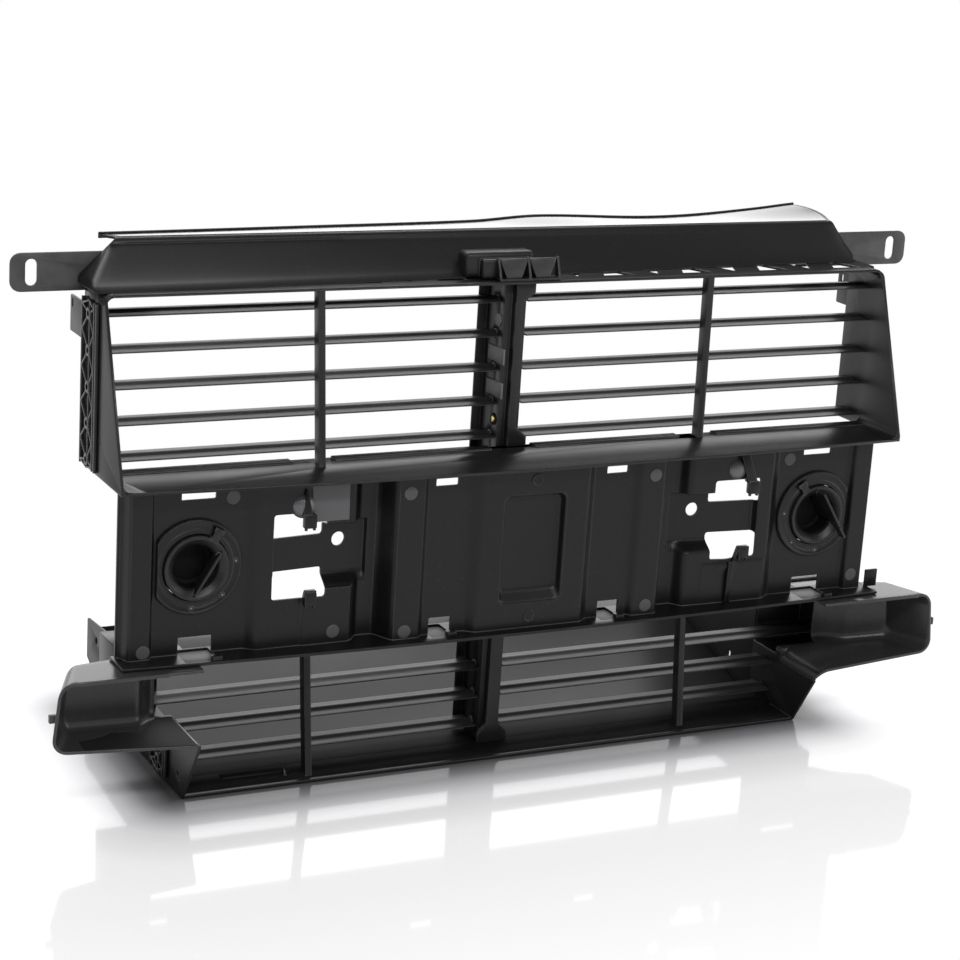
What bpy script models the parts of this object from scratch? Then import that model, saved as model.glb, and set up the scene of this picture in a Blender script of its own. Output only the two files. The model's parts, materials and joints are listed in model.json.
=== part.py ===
"""Active grille shutter for the front of a car, as separate mouldings on one datum.

The datum is the front plane of the middle panel: X runs across, Y runs backwards and Z runs up.
An empty carries every piece, so that the finished part stands with its box centred on the origin.
"""
import math

import bpy
import bmesh
from mathutils import Matrix, Vector

OBJECT_NAME = "front_grille"

# Overall sizes, in metres
OVERALL_WIDTH = 1.000
UPPER_WIDTH = 0.860
LOWER_WIDTH = 0.704
WIDE_ROW_STEP = 0.057
WALL = 0.003
SEAT_GAP = 0.0003
WELD_DISTANCE = 0.00001

# Shutter rows
UPPER_ROWS = 5
LOWER_ROWS = 3
UPPER_PITCH = 0.0348
LOWER_PITCH = 0.0315
UPPER_LAP = 0.0032
LOWER_LAP = 0.0025
VANE_EDGE = 0.0018
SPINE_RADIUS = 0.0034
VANE_AXIS_Y = 0.067
VANE_END_GAP = 0.0008
PIVOT_RADIUS = 0.0030
PIVOT_CLEARANCE = 0.0004
SWEEP_CLEARANCE = 0.0015
CLOSE_ANGLE_DEG = 80.0

# Heights
LOWER_HEADROOM = 0.0485
PANEL_HEIGHT = 0.1704
FIRST_VANE_RISE = 0.0080

# Depths from the datum
SHELF_REACH = 0.027
SHELF_BOW = 0.015
LIP_SETBACK = 0.004
MULLION_DEPTH = 0.012
MULLION_WIDTH = 0.011
MULLION_X = 0.216
MULLION_CLEARANCE = 0.003
REAR_MARGIN = 0.006

# Drive: pinions on the vane axes and one rack behind them
GEAR_TEETH = 10
GEAR_MODULE = 0.0016
PRESSURE_ANGLE_DEG = 25.0
TOOTH_ADDENDUM = 0.0012
TOOTH_DEDENDUM = 0.0015
TOOTH_BACKLASH = 0.0003
GEAR_WIDTH = 0.010
HUB_RADIUS = 0.0045
STUB_RADIUS = 0.0025
RACK_DEPTH = 0.0107
CHEEK_SPACE = 0.019
CHEEK = 0.0025
CHEEK_CLEARANCE = 0.002
COLUMN_PLATE_WIDTH = 0.044
UPPER_RIB_WIDTH = 0.008
LOWER_RIB_WIDTH = 0.014
RIB_DEPTH = 0.0095
RIB_FLARE_WIDTH = 0.034
RIB_FLARE_HEIGHT = 0.020
LOWER_RAIL_SETBACK = 0.005

# Top deflector and its seal
DEFLECTOR_HEIGHT = 0.0415
DEFLECTOR_FLAP = 0.062
DEFLECTOR_ROUND = 0.006
DEFLECTOR_SKIRT = 0.008
DEFLECTOR_TOP_WIDTH = 0.800
DEFLECTOR_SHOULDER = 0.033
DEFLECTOR_END_MARGIN = 0.028
SEAL_THICKNESS = 0.003
SEAL_HEIGHT = 0.010
SEAL_WAVE = 0.0015
TRUSS_BAYS = 18
TRUSS_BAR = 0.005

# Mount straps and their screws
STRAP_LENGTH = 0.140
STRAP_HEIGHT = 0.0365
STRAP_THICKNESS = 0.0025
STRAP_CENTER_DROP = 0.031
STRAP_CORNER = 0.010
SLOT_WIDTH = 0.011
SLOT_HEIGHT = 0.025
SLOT_FROM_TIP = 0.020
SCREW_RADIUS = 0.0025
SCREW_HEAD_RADIUS = 0.0060
SCREW_HEAD_HEIGHT = 0.0030
SCREW_CLEARANCE = 0.0004
SCREW_FROM_ROOT = 0.014
SCREW_SPACING = 0.034

# Middle panel: how far each upright band reaches from the middle, and where its face lies
PANEL_WIDTH = 0.842
PANEL_SHEET = 0.003
CENTER_BAND_X = 0.064
SIDE_BAND_X = 0.118
RIB_BAND_X = 0.1545
GROOVE_BAND_X = 0.1835
WINDOW_BAND_X = 0.292
DIAL_BAND_X = 0.3905
EDGE_BAND_X = 0.411
CENTER_LEVEL = -0.022
SIDE_LEVEL = -0.014
RIB_LEVEL = -0.020
GROOVE_LEVEL = 0.004
WINDOW_LEVEL = -0.008
DIAL_LEVEL = 0.0
EDGE_LEVEL = -0.006
RETURN_LEVEL = 0.008
CENTER_STEP = 0.008
SIDE_STEP = 0.004
RIB_STEP = 0.011
GROOVE_STEP = 0.007
WINDOW_STEP = 0.010
DIAL_STEP = 0.005
FLANGE_REACH = 0.024
FLANGE_BOW = 0.012
FLANGE_EDGE = 0.003
FLANGE_REAR = 0.015
RECESS_WIDTH = 0.067
RECESS_HEIGHT = 0.110
RECESS_DEPTH = 0.012
WINDOW_RISE = 0.0937
WINDOW_WIDTH = 0.055
WINDOW_HEIGHT = 0.026
WINDOW_X = 0.2445
WINDOW_STRAP = 0.033
WINDOW_STRAP_HEIGHT = 0.057
PANEL_HOLE_X = 0.1994
PANEL_HOLE_RADIUS = 0.0071
PANEL_HOLE_RISE = 0.0095
TOP_SLOT_HEIGHT = 0.007
TOP_SLOT_DROP = 0.008
OUTER_SLOT_X = 0.345
OUTER_SLOT_WIDTH = 0.034
INNER_SLOT_X = 0.095
INNER_SLOT_WIDTH = 0.024
BOTTOM_SLOT_HEIGHT = 0.020
CLIP_WIDTH = 0.014
CLIP_REACH = 0.009
CLIP_HEIGHT = 0.028
CLIP_LEFT_X = -0.237
CLIP_RIGHT_X = 0.2575

# Twist caps in the panel
DIAL_X = 0.3477
DIAL_DROP = 0.004
DIAL_RADIUS = 0.032
DIAL_BORE_RADIUS = 0.0222
DIAL_DEPTH = 0.030
DIAL_PROUD = 0.004
DIAL_RUN_GAP = 0.0006
DIAL_FLOOR = 0.003
FIN_THICKNESS = 0.003
FIN_PROUD = 0.012
FIN_OFFSET = 0.010
RING_RADIUS = 0.047
RING_THICKNESS = 0.004
DIAL_REST_DEG = 58.0

# Scoops at the sides of the lower frame
SCOOP_WIDTH = 0.140
SCOOP_REACH = 0.038
SCOOP_STEP = 0.009
SCOOP_RISE = 0.013
SCOOP_END_DEPTH = 0.016
SCOOP_CHAMFER = 0.010

# Rear duct
DUCT_LENGTH = 0.217
DUCT_SIDE_HEIGHT = 0.100
DUCT_REAR_HEIGHT = 0.083
DUCT_TAIL_RISE = 0.040
TRAY_SHEET = 0.0025
TRAY_FLAT = 0.028
TRAY_RISE = 0.060
TRAY_REAR_GAP = 0.009
TRAY_LIP = 0.014
DUCT_HOLE_RADIUS = 0.004
DUCT_HOLE_DROP = 0.015
DUCT_HOLE_FROM_REAR = 0.032
DUCT_HOLE_SPACING = 0.051
DUCT_SLOT_SETBACK = 0.0456
DUCT_SLOT_RISE = 0.028
DUCT_SLOT_WIDTH = 0.007
DUCT_SLOT_HEIGHT = 0.014

# Bearing strips and side brackets
STRIP_BASE = 0.0027
STRIP_RIB = 0.007
STRIP_BAR = 0.0022
STRIP_WIDTH = 0.044
BOSS_RADIUS = 0.0065
BRACKET_HEIGHT = 0.035
BRACKET_LENGTH = 0.024
BRACKET_SHEET = 0.0025
BRACKET_DROP = 0.012
BRACKET_HOLE_RADIUS = 0.0032
BRACKET_HOLE_INSET = 0.010

# Top box, gusset bracket and actuator
BOX_WIDTH = 0.070
BOX_DEPTH = 0.030
BOX_HEIGHT = 0.023
BOX_X = -0.015
BOX_ROUND = 0.004
GUSSET_WIDTH = 0.068
GUSSET_DEPTH = 0.0115
GUSSET_HEIGHT = 0.022
GUSSET_X = 0.007
ACTUATOR_WIDTH = 0.052
ACTUATOR_DEPTH = 0.056
ACTUATOR_HEIGHT = 0.070
ACTUATOR_ROUND = 0.003
SHAFT_REACH = 0.006
STOP_PIN_RADIUS = 0.0018
STOP_PIN_FORWARD = 0.009

# Colours and finishes
BLACK_MOULDING = (0.028, 0.028, 0.030)
VANE_BLACK = (0.036, 0.036, 0.038)
STRAP_GREY = (0.095, 0.097, 0.100)
SEAL_BLACK = (0.016, 0.016, 0.017)
DRIVE_GREY = (0.20, 0.20, 0.21)
STEEL = (0.42, 0.43, 0.45)
BRASS = (0.62, 0.44, 0.16)

# Values worked out from the sizes above
UPPER_CHORD = UPPER_PITCH + UPPER_LAP
LOWER_CHORD = LOWER_PITCH + LOWER_LAP
WIDEST_CHORD = max(UPPER_CHORD, LOWER_CHORD)
UPPER_HALF = UPPER_WIDTH / 2
LOWER_HALF = LOWER_WIDTH / 2
WIDE_HALF = LOWER_HALF + WIDE_ROW_STEP
MULLION_REAR_Y = VANE_AXIS_Y - WIDEST_CHORD / 2 - MULLION_CLEARANCE
MULLION_FRONT_Y = MULLION_REAR_Y - MULLION_DEPTH
FRAME_REAR_Y = VANE_AXIS_Y + WIDEST_CHORD / 2 + REAR_MARGIN
SHELF_REAR_Y = MULLION_REAR_Y + SWEEP_CLEARANCE
LOWER_AXES = [LOWER_CHORD / 2 + SWEEP_CLEARANCE + row * LOWER_PITCH for row in range(LOWER_ROWS)]
LEDGE_TOP = LOWER_AXES[-1] - LOWER_CHORD / 2 - SWEEP_CLEARANCE
SCOOP_FLOOR_Z = LEDGE_TOP + SCOOP_STEP
LOWER_TOP = LOWER_AXES[-1] + LOWER_CHORD / 2 + LOWER_HEADROOM
PANEL_BOTTOM = LOWER_TOP + SEAT_GAP
PANEL_TOP = PANEL_BOTTOM + PANEL_HEIGHT
SHELF_BOTTOM = PANEL_TOP + SEAT_GAP
SHELF_TOP = SHELF_BOTTOM + WALL
UPPER_AXES = [SHELF_TOP + FIRST_VANE_RISE + row * UPPER_PITCH for row in range(UPPER_ROWS)]
RAIL_BOTTOM = UPPER_AXES[-1] + UPPER_CHORD / 2 + SWEEP_CLEARANCE
RAIL_TOP = RAIL_BOTTOM + WALL
PANEL_SEAM_X = (RIB_BAND_X + GROOVE_BAND_X) / 2
DEFLECTOR_TOP = RAIL_TOP + DEFLECTOR_HEIGHT
DEFLECTOR_Y = FRAME_REAR_Y + SEAT_GAP
STRAP_Y = DEFLECTOR_Y + WALL + SEAT_GAP
STRAP_Z = DEFLECTOR_TOP - STRAP_CENTER_DROP
DUCT_Y = FRAME_REAR_Y + SEAT_GAP
DUCT_REAR_Y = DUCT_Y + DUCT_LENGTH
SCOOP_HALF = LOWER_HALF + SCOOP_WIDTH
WINDOW_Z = PANEL_BOTTOM + WINDOW_RISE
DIAL_Z = WINDOW_Z - DIAL_DROP
GEAR_RADIUS = GEAR_MODULE * GEAR_TEETH / 2
RACK_PITCH_Y = VANE_AXIS_Y + GEAR_RADIUS
RACK_REAR_Y = RACK_PITCH_Y + TOOTH_DEDENDUM + RACK_DEPTH
COLUMN_REAR_Y = RACK_REAR_Y + SEAT_GAP + CHEEK
COLUMN_FRONT_Y = MULLION_REAR_Y + RIB_DEPTH / 2
CHEEK_OUTER = CHEEK_SPACE / 2 + CHEEK
CHANNEL_BOTTOM = WALL + SEAT_GAP
CHANNEL_TOP = RAIL_BOTTOM - SEAT_GAP
VANE_INNER_X = CHEEK_OUTER + CHEEK_CLEARANCE
TOOTH_PITCH = math.pi * GEAR_MODULE
PINION_Z = WINDOW_Z
RACK_TRAVEL = GEAR_RADIUS * math.radians(CLOSE_ANGLE_DEG)
FRONT_REACH = max(SCOOP_REACH, SHELF_REACH + SHELF_BOW, FLANGE_REACH + FLANGE_BOW)
DATUM_Y = (FRONT_REACH - DUCT_REAR_Y) / 2


def clear_scene():
    """Remove whatever the open file holds."""
    for item in list(bpy.data.objects):
        bpy.data.objects.remove(item, do_unlink=True)


def new_collection(name):
    """Make a collection under the scene."""
    collection = bpy.data.collections.new(name)
    bpy.context.scene.collection.children.link(collection)
    return collection


clear_scene()
PARTS = new_collection(OBJECT_NAME)
CUTTERS = new_collection(OBJECT_NAME + "_cutters")
DATUM = bpy.data.objects.new(OBJECT_NAME + "_datum", None)
PARTS.objects.link(DATUM)
DATUM.location = (0.0, DATUM_Y, 0.0)


def place(name, mesh):
    """Give a mesh an object that hangs on the datum."""
    item = bpy.data.objects.new(name, mesh)
    PARTS.objects.link(item)
    item.parent = DATUM
    return item


def from_bmesh(name, shape):
    """Turn a bmesh into an object, with its faces pointing out."""
    bmesh.ops.recalc_face_normals(shape, faces=shape.faces)
    mesh = bpy.data.meshes.new(name)
    shape.to_mesh(mesh)
    shape.free()
    return place(name, mesh)


def box(name, low, high):
    """A box between two corners."""
    shape = bmesh.new()
    bmesh.ops.create_cube(shape, size=1.0)
    size = [b - a for a, b in zip(low, high)]
    middle = [(a + b) / 2 for a, b in zip(low, high)]
    bmesh.ops.scale(shape, vec=size, verts=shape.verts)
    bmesh.ops.translate(shape, vec=middle, verts=shape.verts)
    return from_bmesh(name, shape)


TURN = {
    "X": Matrix(((0, 0, 1), (1, 0, 0), (0, 1, 0))),
    "Y": Matrix(((1, 0, 0), (0, 0, -1), (0, 1, 0))),
    "Z": Matrix(((1, 0, 0), (0, 1, 0), (0, 0, 1))),
}


def prism(name, outlines, axis, low, high):
    """Flat outlines, the first one with any holes after it, given thickness along an axis."""
    curve = bpy.data.curves.new(name, "CURVE")
    curve.dimensions = "2D"
    curve.fill_mode = "BOTH"
    curve.extrude = (high - low) / 2
    for outline in outlines:
        spline = curve.splines.new("POLY")
        spline.points.add(len(outline) - 1)
        for point, (across, up) in zip(spline.points, outline):
            point.co = (across, up, 0.0, 1.0)
        spline.use_cyclic_u = True
    drawing = bpy.data.objects.new(name, curve)
    CUTTERS.objects.link(drawing)
    view = bpy.context.evaluated_depsgraph_get()
    view.update()
    mesh = bpy.data.meshes.new_from_object(drawing.evaluated_get(view))
    bpy.data.objects.remove(drawing, do_unlink=True)
    shape = bmesh.new()
    shape.from_mesh(mesh)
    bpy.data.meshes.remove(mesh)
    bmesh.ops.remove_doubles(shape, verts=shape.verts, dist=WELD_DISTANCE)
    shift = Vector((0.0, 0.0, 0.0))
    shift["XYZ".index(axis)] = (low + high) / 2
    bmesh.ops.rotate(shape, matrix=TURN[axis], verts=shape.verts)
    bmesh.ops.translate(shape, vec=shift, verts=shape.verts)
    return from_bmesh(name, shape)


def rod(name, axis, center, radius, low, high, sides=12):
    """A round bar along an axis; center holds its two other coordinates."""
    shape = bmesh.new()
    bmesh.ops.create_cone(shape, cap_ends=True, segments=sides, radius1=radius, radius2=radius,
                          depth=high - low)
    bmesh.ops.rotate(shape, matrix=TURN[axis], verts=shape.verts)
    spot = list(center)
    spot.insert("XYZ".index(axis), (low + high) / 2)
    bmesh.ops.translate(shape, vec=spot, verts=shape.verts)
    return from_bmesh(name, shape)


def combine(target, tools, operation):
    """Add live Boolean modifiers, and put the tools away with the cutters."""
    for tool in tools:
        step = target.modifiers.new(tool.name, "BOOLEAN")
        step.operation = operation
        step.solver = "EXACT"
        step.object = tool
        for home in list(tool.users_collection):
            home.objects.unlink(tool)
        CUTTERS.objects.link(tool)
        tool.hide_render = True
        tool.display_type = "WIRE"
    return target


def join(target, tools):
    """One moulding from several overlapping shapes."""
    return combine(target, tools, "UNION")


def cut(target, tools):
    """Openings in a moulding."""
    return combine(target, tools, "DIFFERENCE")


def set_origin(item, point):
    """Move an object's origin to a point on its joint's axis."""
    item.data.transform(Matrix.Translation(-Vector(point)))
    item.location = point


def finish(item, colour, roughness, metallic=0.0):
    """Give a piece its own finish and smooth shading with crisp corners."""
    finish_name = item.name + "_finish"
    material = bpy.data.materials.new(finish_name)
    material.use_nodes = True
    shader = material.node_tree.nodes["Principled BSDF"]
    shader.inputs["Base Color"].default_value = (*colour, 1.0)
    shader.inputs["Roughness"].default_value = roughness
    shader.inputs["Metallic"].default_value = metallic
    item.data.materials.clear()
    item.data.materials.append(material)
    item.data.shade_smooth()
    item.data.set_sharp_from_angle(angle=math.radians(32.0))
    return item


def arc(center, radius, start_deg, end_deg, steps):
    """Points along an arc, both ends included."""
    points = []
    for step in range(steps + 1):
        angle = math.radians(start_deg + (end_deg - start_deg) * step / steps)
        points.append((center[0] + radius * math.cos(angle), center[1] + radius * math.sin(angle)))
    return points


def rounded(center, size, radius, steps=3):
    """A rectangle with round corners."""
    half_across = size[0] / 2 - radius
    half_up = size[1] / 2 - radius
    points = []
    for sign_across, sign_up, start in ((1, 1, 0), (-1, 1, 90), (-1, -1, 180), (1, -1, 270)):
        corner = (center[0] + sign_across * half_across, center[1] + sign_up * half_up)
        points += arc(corner, radius, start, start + 90, steps)
    return points


def ribbon(path, thickness):
    """The outline of a bent sheet: its face follows the path, its body lies to the left of it."""
    offset = []
    for index, point in enumerate(path):
        before = path[max(index - 1, 0)]
        after = path[min(index + 1, len(path) - 1)]
        first = Vector(point) - Vector(before) if index else Vector(after) - Vector(point)
        last = Vector(after) - Vector(point) if index < len(path) - 1 else first
        normal_first = Vector((-first.y, first.x)).normalized()
        normal_last = Vector((-last.y, last.x)).normalized()
        bisector = (normal_first + normal_last).normalized()
        reach = thickness / max(bisector.dot(normal_first), 0.3)
        offset.append(tuple(Vector(point) + bisector * reach))
    return list(path) + offset[::-1]


def mirrored(outline):
    """The same outline on the other side of the car's middle."""
    return [(-across, up) for across, up in reversed(outline)]


def sided(outline, side):
    """An outline drawn for the right side, moved to the left side where it is asked for."""
    return outline if side > 0 else mirrored(outline)


def span(side, inner, outer):
    """Low and high X of something between two distances from the middle."""
    return (inner, outer) if side > 0 else (-outer, -inner)


def bowed_plate(half, reach, bow, rear, steps=16):
    """A plate seen from above whose front edge swells forward in the middle."""
    front = []
    for step in range(steps + 1):
        share = 2 * step / steps - 1
        front.append((half * share, -reach - bow * (1 - share * share)))
    return front + [(half, rear), (-half, rear)]


SIDES = (("left", -1), ("right", 1))


def upper_frame():
    """Two slanted cheeks, a shelf, a trussed top rail and two mullions in one moulding."""
    wall = [(-SHELF_REACH, SHELF_BOTTOM), (FRAME_REAR_Y, SHELF_BOTTOM), (FRAME_REAR_Y, RAIL_TOP),
            (MULLION_FRONT_Y, RAIL_TOP), (-SHELF_REACH, SHELF_TOP + WALL)]
    shelf = bowed_plate(UPPER_HALF, SHELF_REACH, SHELF_BOW, SHELF_REAR_Y)
    frame = prism("upper_frame", [shelf], "Z", SHELF_BOTTOM, SHELF_TOP)
    extra = [box("top_rail_body", (-UPPER_HALF, MULLION_FRONT_Y, RAIL_BOTTOM),
                 (UPPER_HALF, FRAME_REAR_Y, RAIL_TOP))]
    for name, side in SIDES:
        low, high = span(side, UPPER_HALF - WALL, UPPER_HALF)
        extra.append(prism(name + "_wall_body", [wall], "X", low, high))
        low, high = span(side, MULLION_X - MULLION_WIDTH / 2, MULLION_X + MULLION_WIDTH / 2)
        extra.append(box(name + "_mullion_body", (low, MULLION_FRONT_Y, SHELF_TOP - WALL / 2),
                         (high, MULLION_REAR_Y, RAIL_BOTTOM + WALL / 2)))
    join(frame, extra)
    cutters = truss_cutters()
    for row, height in enumerate(UPPER_AXES):
        for name, side in SIDES:
            low, high = span(side, UPPER_HALF - 2 * WALL, UPPER_HALF + WALL)
            cutters.append(rod(f"{name}_pivot_cut_{row}", "X", (VANE_AXIS_Y, height),
                               PIVOT_RADIUS + PIVOT_CLEARANCE, low, high))
    cut(frame, cutters)
    return finish(frame, BLACK_MOULDING, 0.42)


def truss_cutters():
    """Triangular windows that leave a zigzag of bars in the top rail."""
    front = MULLION_REAR_Y + TRUSS_BAR
    rear = FRAME_REAR_Y - TRUSS_BAR
    reach = UPPER_HALF - 4 * WALL
    bay = 2 * reach / TRUSS_BAYS
    slope = TRUSS_BAR * 1.2
    cutters = []
    for index in range(TRUSS_BAYS):
        left = -reach + index * bay
        right = left + bay
        middle = (left + right) / 2
        near, far = (front, rear) if index % 2 else (rear, front)
        triangle = [(left + slope, near), (right - slope, near), (middle, far)]
        if abs(middle) > COLUMN_PLATE_WIDTH:
            cutters.append(prism(f"truss_cut_{index}", [triangle], "Z", RAIL_BOTTOM - WALL, RAIL_TOP + WALL))
    return cutters


def flared_rib(low, high, width):
    """A narrow upright seen from the front, widened where it meets a shelf or a rail."""
    half = width / 2
    wide = RIB_FLARE_WIDTH / 2
    rise = RIB_FLARE_HEIGHT
    side = [(wide, low), (wide, low + rise / 2), (half, low + rise), (half, high - rise),
            (wide, high - rise / 2), (wide, high)]
    return side + mirrored(side)


def drive_channel(pin_spot):
    """The upright housing of the drive: a square tube with bearing holes and a rib in each opening."""
    front = COLUMN_FRONT_Y
    rear = COLUMN_REAR_Y
    channel = box("drive_channel", (-CHEEK_OUTER, front, CHANNEL_BOTTOM),
                  (CHEEK_OUTER, front + CHEEK, CHANNEL_TOP))
    extra = [box("channel_rear_body", (-COLUMN_PLATE_WIDTH / 2, rear - CHEEK, CHANNEL_BOTTOM),
                 (COLUMN_PLATE_WIDTH / 2, rear, CHANNEL_TOP))]
    for name, side in SIDES:
        inner, outer = span(side, CHEEK_SPACE / 2, CHEEK_OUTER)
        extra.append(box(name + "_channel_cheek", (inner, front + CHEEK / 2, CHANNEL_BOTTOM),
                         (outer, rear - CHEEK / 2, CHANNEL_TOP)))
    openings = (("lower", CHANNEL_BOTTOM, LOWER_TOP - WALL - SEAT_GAP, LOWER_RIB_WIDTH),
                ("upper", SHELF_TOP + SEAT_GAP, CHANNEL_TOP, UPPER_RIB_WIDTH))
    for name, low, high, width in openings:
        extra.append(prism(name + "_flared_rib", [flared_rib(low, high, width)], "Y",
                           front - RIB_DEPTH, MULLION_REAR_Y))
        extra.append(box(name + "_rib_web", (-width / 2, MULLION_REAR_Y - WALL, low),
                         (width / 2, front + CHEEK / 2, high)))
    cutters = [rod(f"bearing_cut_{index}", "X", (VANE_AXIS_Y, height), HUB_RADIUS + PIVOT_CLEARANCE,
                   -CHEEK_OUTER - CHEEK, CHEEK_OUTER + CHEEK, 16)
               for index, height in enumerate(LOWER_AXES + [PINION_Z] + UPPER_AXES)]
    cutters.append(rod("stop_pin_cut", "X", pin_spot, STOP_PIN_RADIUS + SEAT_GAP,
                       -CHEEK_OUTER - CHEEK, -CHEEK_SPACE / 2 + CHEEK / 2))
    join(channel, extra)
    cut(channel, cutters)
    return finish(channel, BLACK_MOULDING, 0.5)


def vane_outline(chord):
    """A thin blade with a round spine on its axis."""
    half = chord / 2
    edge = VANE_EDGE / 2
    root = SPINE_RADIUS * 1.9
    upper = [(half, edge * 0.6), (root, edge)]
    upper += arc((0.0, 0.0), SPINE_RADIUS, 30, 150, 4)
    upper += [(-root, edge), (-half, edge * 0.6)]
    lower = [(across, -up) for across, up in reversed(upper)]
    return upper + lower


def vane(name, side, inner, outer, height, chord, pin_reach):
    """A blade with a pivot pin at its outer end and a drive stub at its inner end."""
    outline = [(VANE_AXIS_Y + across, height + up) for across, up in vane_outline(chord)]
    low, high = span(side, inner, outer)
    blade = prism(name, [outline], "X", low, high)
    center = (VANE_AXIS_Y, height)
    low, high = span(side, outer - WALL, outer + VANE_END_GAP + WALL + pin_reach)
    pin = rod(name + "_pivot", "X", center, PIVOT_RADIUS, low, high)
    low, high = span(side, GEAR_WIDTH / 2, inner + WALL)
    stub = rod(name + "_stub", "X", center, STUB_RADIUS, low, high, 8)
    join(blade, [pin, stub])
    set_origin(blade, (0.0, VANE_AXIS_Y, height))
    return finish(blade, VANE_BLACK, 0.36)


def involute(radius):
    """How far an involute has turned where it reaches a radius."""
    base = GEAR_RADIUS * math.cos(math.radians(PRESSURE_ANGLE_DEG))
    angle = math.acos(min(1.0, base / radius))
    return math.tan(angle) - angle


def gear_outline(turn):
    """Involute teeth round the vane axis, with a gap facing the rack when turn is nothing."""
    base = GEAR_RADIUS * math.cos(math.radians(PRESSURE_ANGLE_DEG))
    tip = GEAR_RADIUS + TOOTH_ADDENDUM
    root = GEAR_RADIUS - TOOTH_DEDENDUM
    thickness = TOOTH_PITCH / 2 - TOOTH_BACKLASH
    half_at_pitch = thickness / 2 / GEAR_RADIUS + involute(GEAR_RADIUS)
    flank = [(root, half_at_pitch)]
    flank += [(radius, half_at_pitch - involute(radius)) for radius in ((base + tip) / 2, tip)]
    points = []
    for tooth in range(GEAR_TEETH):
        middle = (tooth + 0.5) * 2 * math.pi / GEAR_TEETH + turn
        for radius, half in flank:
            points.append((radius * math.cos(middle - half), radius * math.sin(middle - half)))
        for radius, half in reversed(flank):
            points.append((radius * math.cos(middle + half), radius * math.sin(middle + half)))
    return points


def rack_offset(height):
    """Distance from a pinion's axis up to the nearest rack tooth."""
    steps = round((height - PINION_Z) / TOOTH_PITCH)
    return PINION_Z + steps * TOOTH_PITCH - height


def pinion(name, height, hub_reach, bore):
    """A small gear with a hub, in mesh with the rack at rest."""
    outline = [(VANE_AXIS_Y + across, height + up)
               for across, up in gear_outline(rack_offset(height) / GEAR_RADIUS)]
    gear = prism(name, [outline], "X", -GEAR_WIDTH / 2, GEAR_WIDTH / 2)
    center = (VANE_AXIS_Y, height)
    join(gear, [rod(name + "_hub", "X", center, HUB_RADIUS, -hub_reach[0], hub_reach[1])])
    if bore:
        cut(gear, [rod(name + "_socket", "X", center, STUB_RADIUS + SEAT_GAP, -2 * hub_reach[0],
                       2 * hub_reach[1], 10)])
    set_origin(gear, (0.0, VANE_AXIS_Y, height))
    return finish(gear, DRIVE_GREY, 0.5)


def drive_rack():
    """One long rack for both shutters, toothed where it meets a pinion."""
    slope = math.tan(math.radians(PRESSURE_ANGLE_DEG))
    half = (TOOTH_PITCH / 2 - TOOTH_BACKLASH) / 2
    tip_half = half - TOOTH_ADDENDUM * slope
    root_half = half + TOOTH_DEDENDUM * slope
    tip_y = RACK_PITCH_Y - TOOTH_ADDENDUM
    root_y = RACK_PITCH_Y + TOOTH_DEDENDUM
    heights = LOWER_AXES + [PINION_Z] + UPPER_AXES
    bottom = CHANNEL_BOTTOM + SEAT_GAP
    top = UPPER_AXES[-1] + GEAR_RADIUS - SWEEP_CLEARANCE
    outline = [(RACK_REAR_Y, top), (RACK_REAR_Y, bottom), (root_y, bottom)]
    first = math.ceil((bottom + root_half - PINION_Z) / TOOTH_PITCH)
    last = math.floor((top - root_half - PINION_Z) / TOOTH_PITCH)
    for step in range(first, last + 1):
        middle = PINION_Z + step * TOOTH_PITCH
        near = [height for height in heights
                if -RACK_TRAVEL - 1.3 * TOOTH_PITCH < middle - height < 1.3 * TOOTH_PITCH]
        if near:
            outline += [(root_y, middle - root_half), (tip_y, middle - tip_half),
                        (tip_y, middle + tip_half), (root_y, middle + root_half)]
    outline.append((root_y, top))
    rack = prism("drive_rack", [outline], "X", -GEAR_WIDTH / 2, GEAR_WIDTH / 2)
    return finish(rack, DRIVE_GREY, 0.5)


def top_deflector():
    """A long angle: upright face with sloped ends, rounded into a flap that runs backwards."""
    bottom = RAIL_TOP - DEFLECTOR_SKIRT
    corner = (DEFLECTOR_Y + DEFLECTOR_ROUND, DEFLECTOR_TOP - DEFLECTOR_ROUND)
    rear = DEFLECTOR_Y + DEFLECTOR_FLAP
    path = [(rear, DEFLECTOR_TOP)] + arc(corner, DEFLECTOR_ROUND, 90, 180, 5) + [(DEFLECTOR_Y, bottom)]
    top_half = DEFLECTOR_TOP_WIDTH / 2
    side_half = screw_spots(1)[-1] + DEFLECTOR_END_MARGIN
    reach = max(top_half, side_half) + WALL
    hood = prism("top_deflector", [ribbon(path, WALL)], "X", -reach, reach)
    over = DEFLECTOR_TOP + DEFLECTOR_ROUND
    under = bottom - WALL
    shoulder = DEFLECTOR_TOP - DEFLECTOR_SHOULDER
    end = [(top_half, over), (top_half, DEFLECTOR_TOP - WALL * 2), (side_half, shoulder), (side_half, under),
           (reach + WALL, under), (reach + WALL, over)]
    tools = []
    for name, side in SIDES:
        tools.append(prism(name + "_end_cut", [sided(end, side)], "Y", DEFLECTOR_Y - WALL, rear + WALL))
        for spot in screw_spots(side):
            tools.append(rod(f"{name}_hood_hole_{round(spot * 1000)}", "Y", (spot, STRAP_Z),
                             SCREW_RADIUS + SCREW_CLEARANCE, DEFLECTOR_Y - WALL, STRAP_Y, 16))
    cut(hood, tools)
    return finish(hood, BLACK_MOULDING, 0.38)


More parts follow.
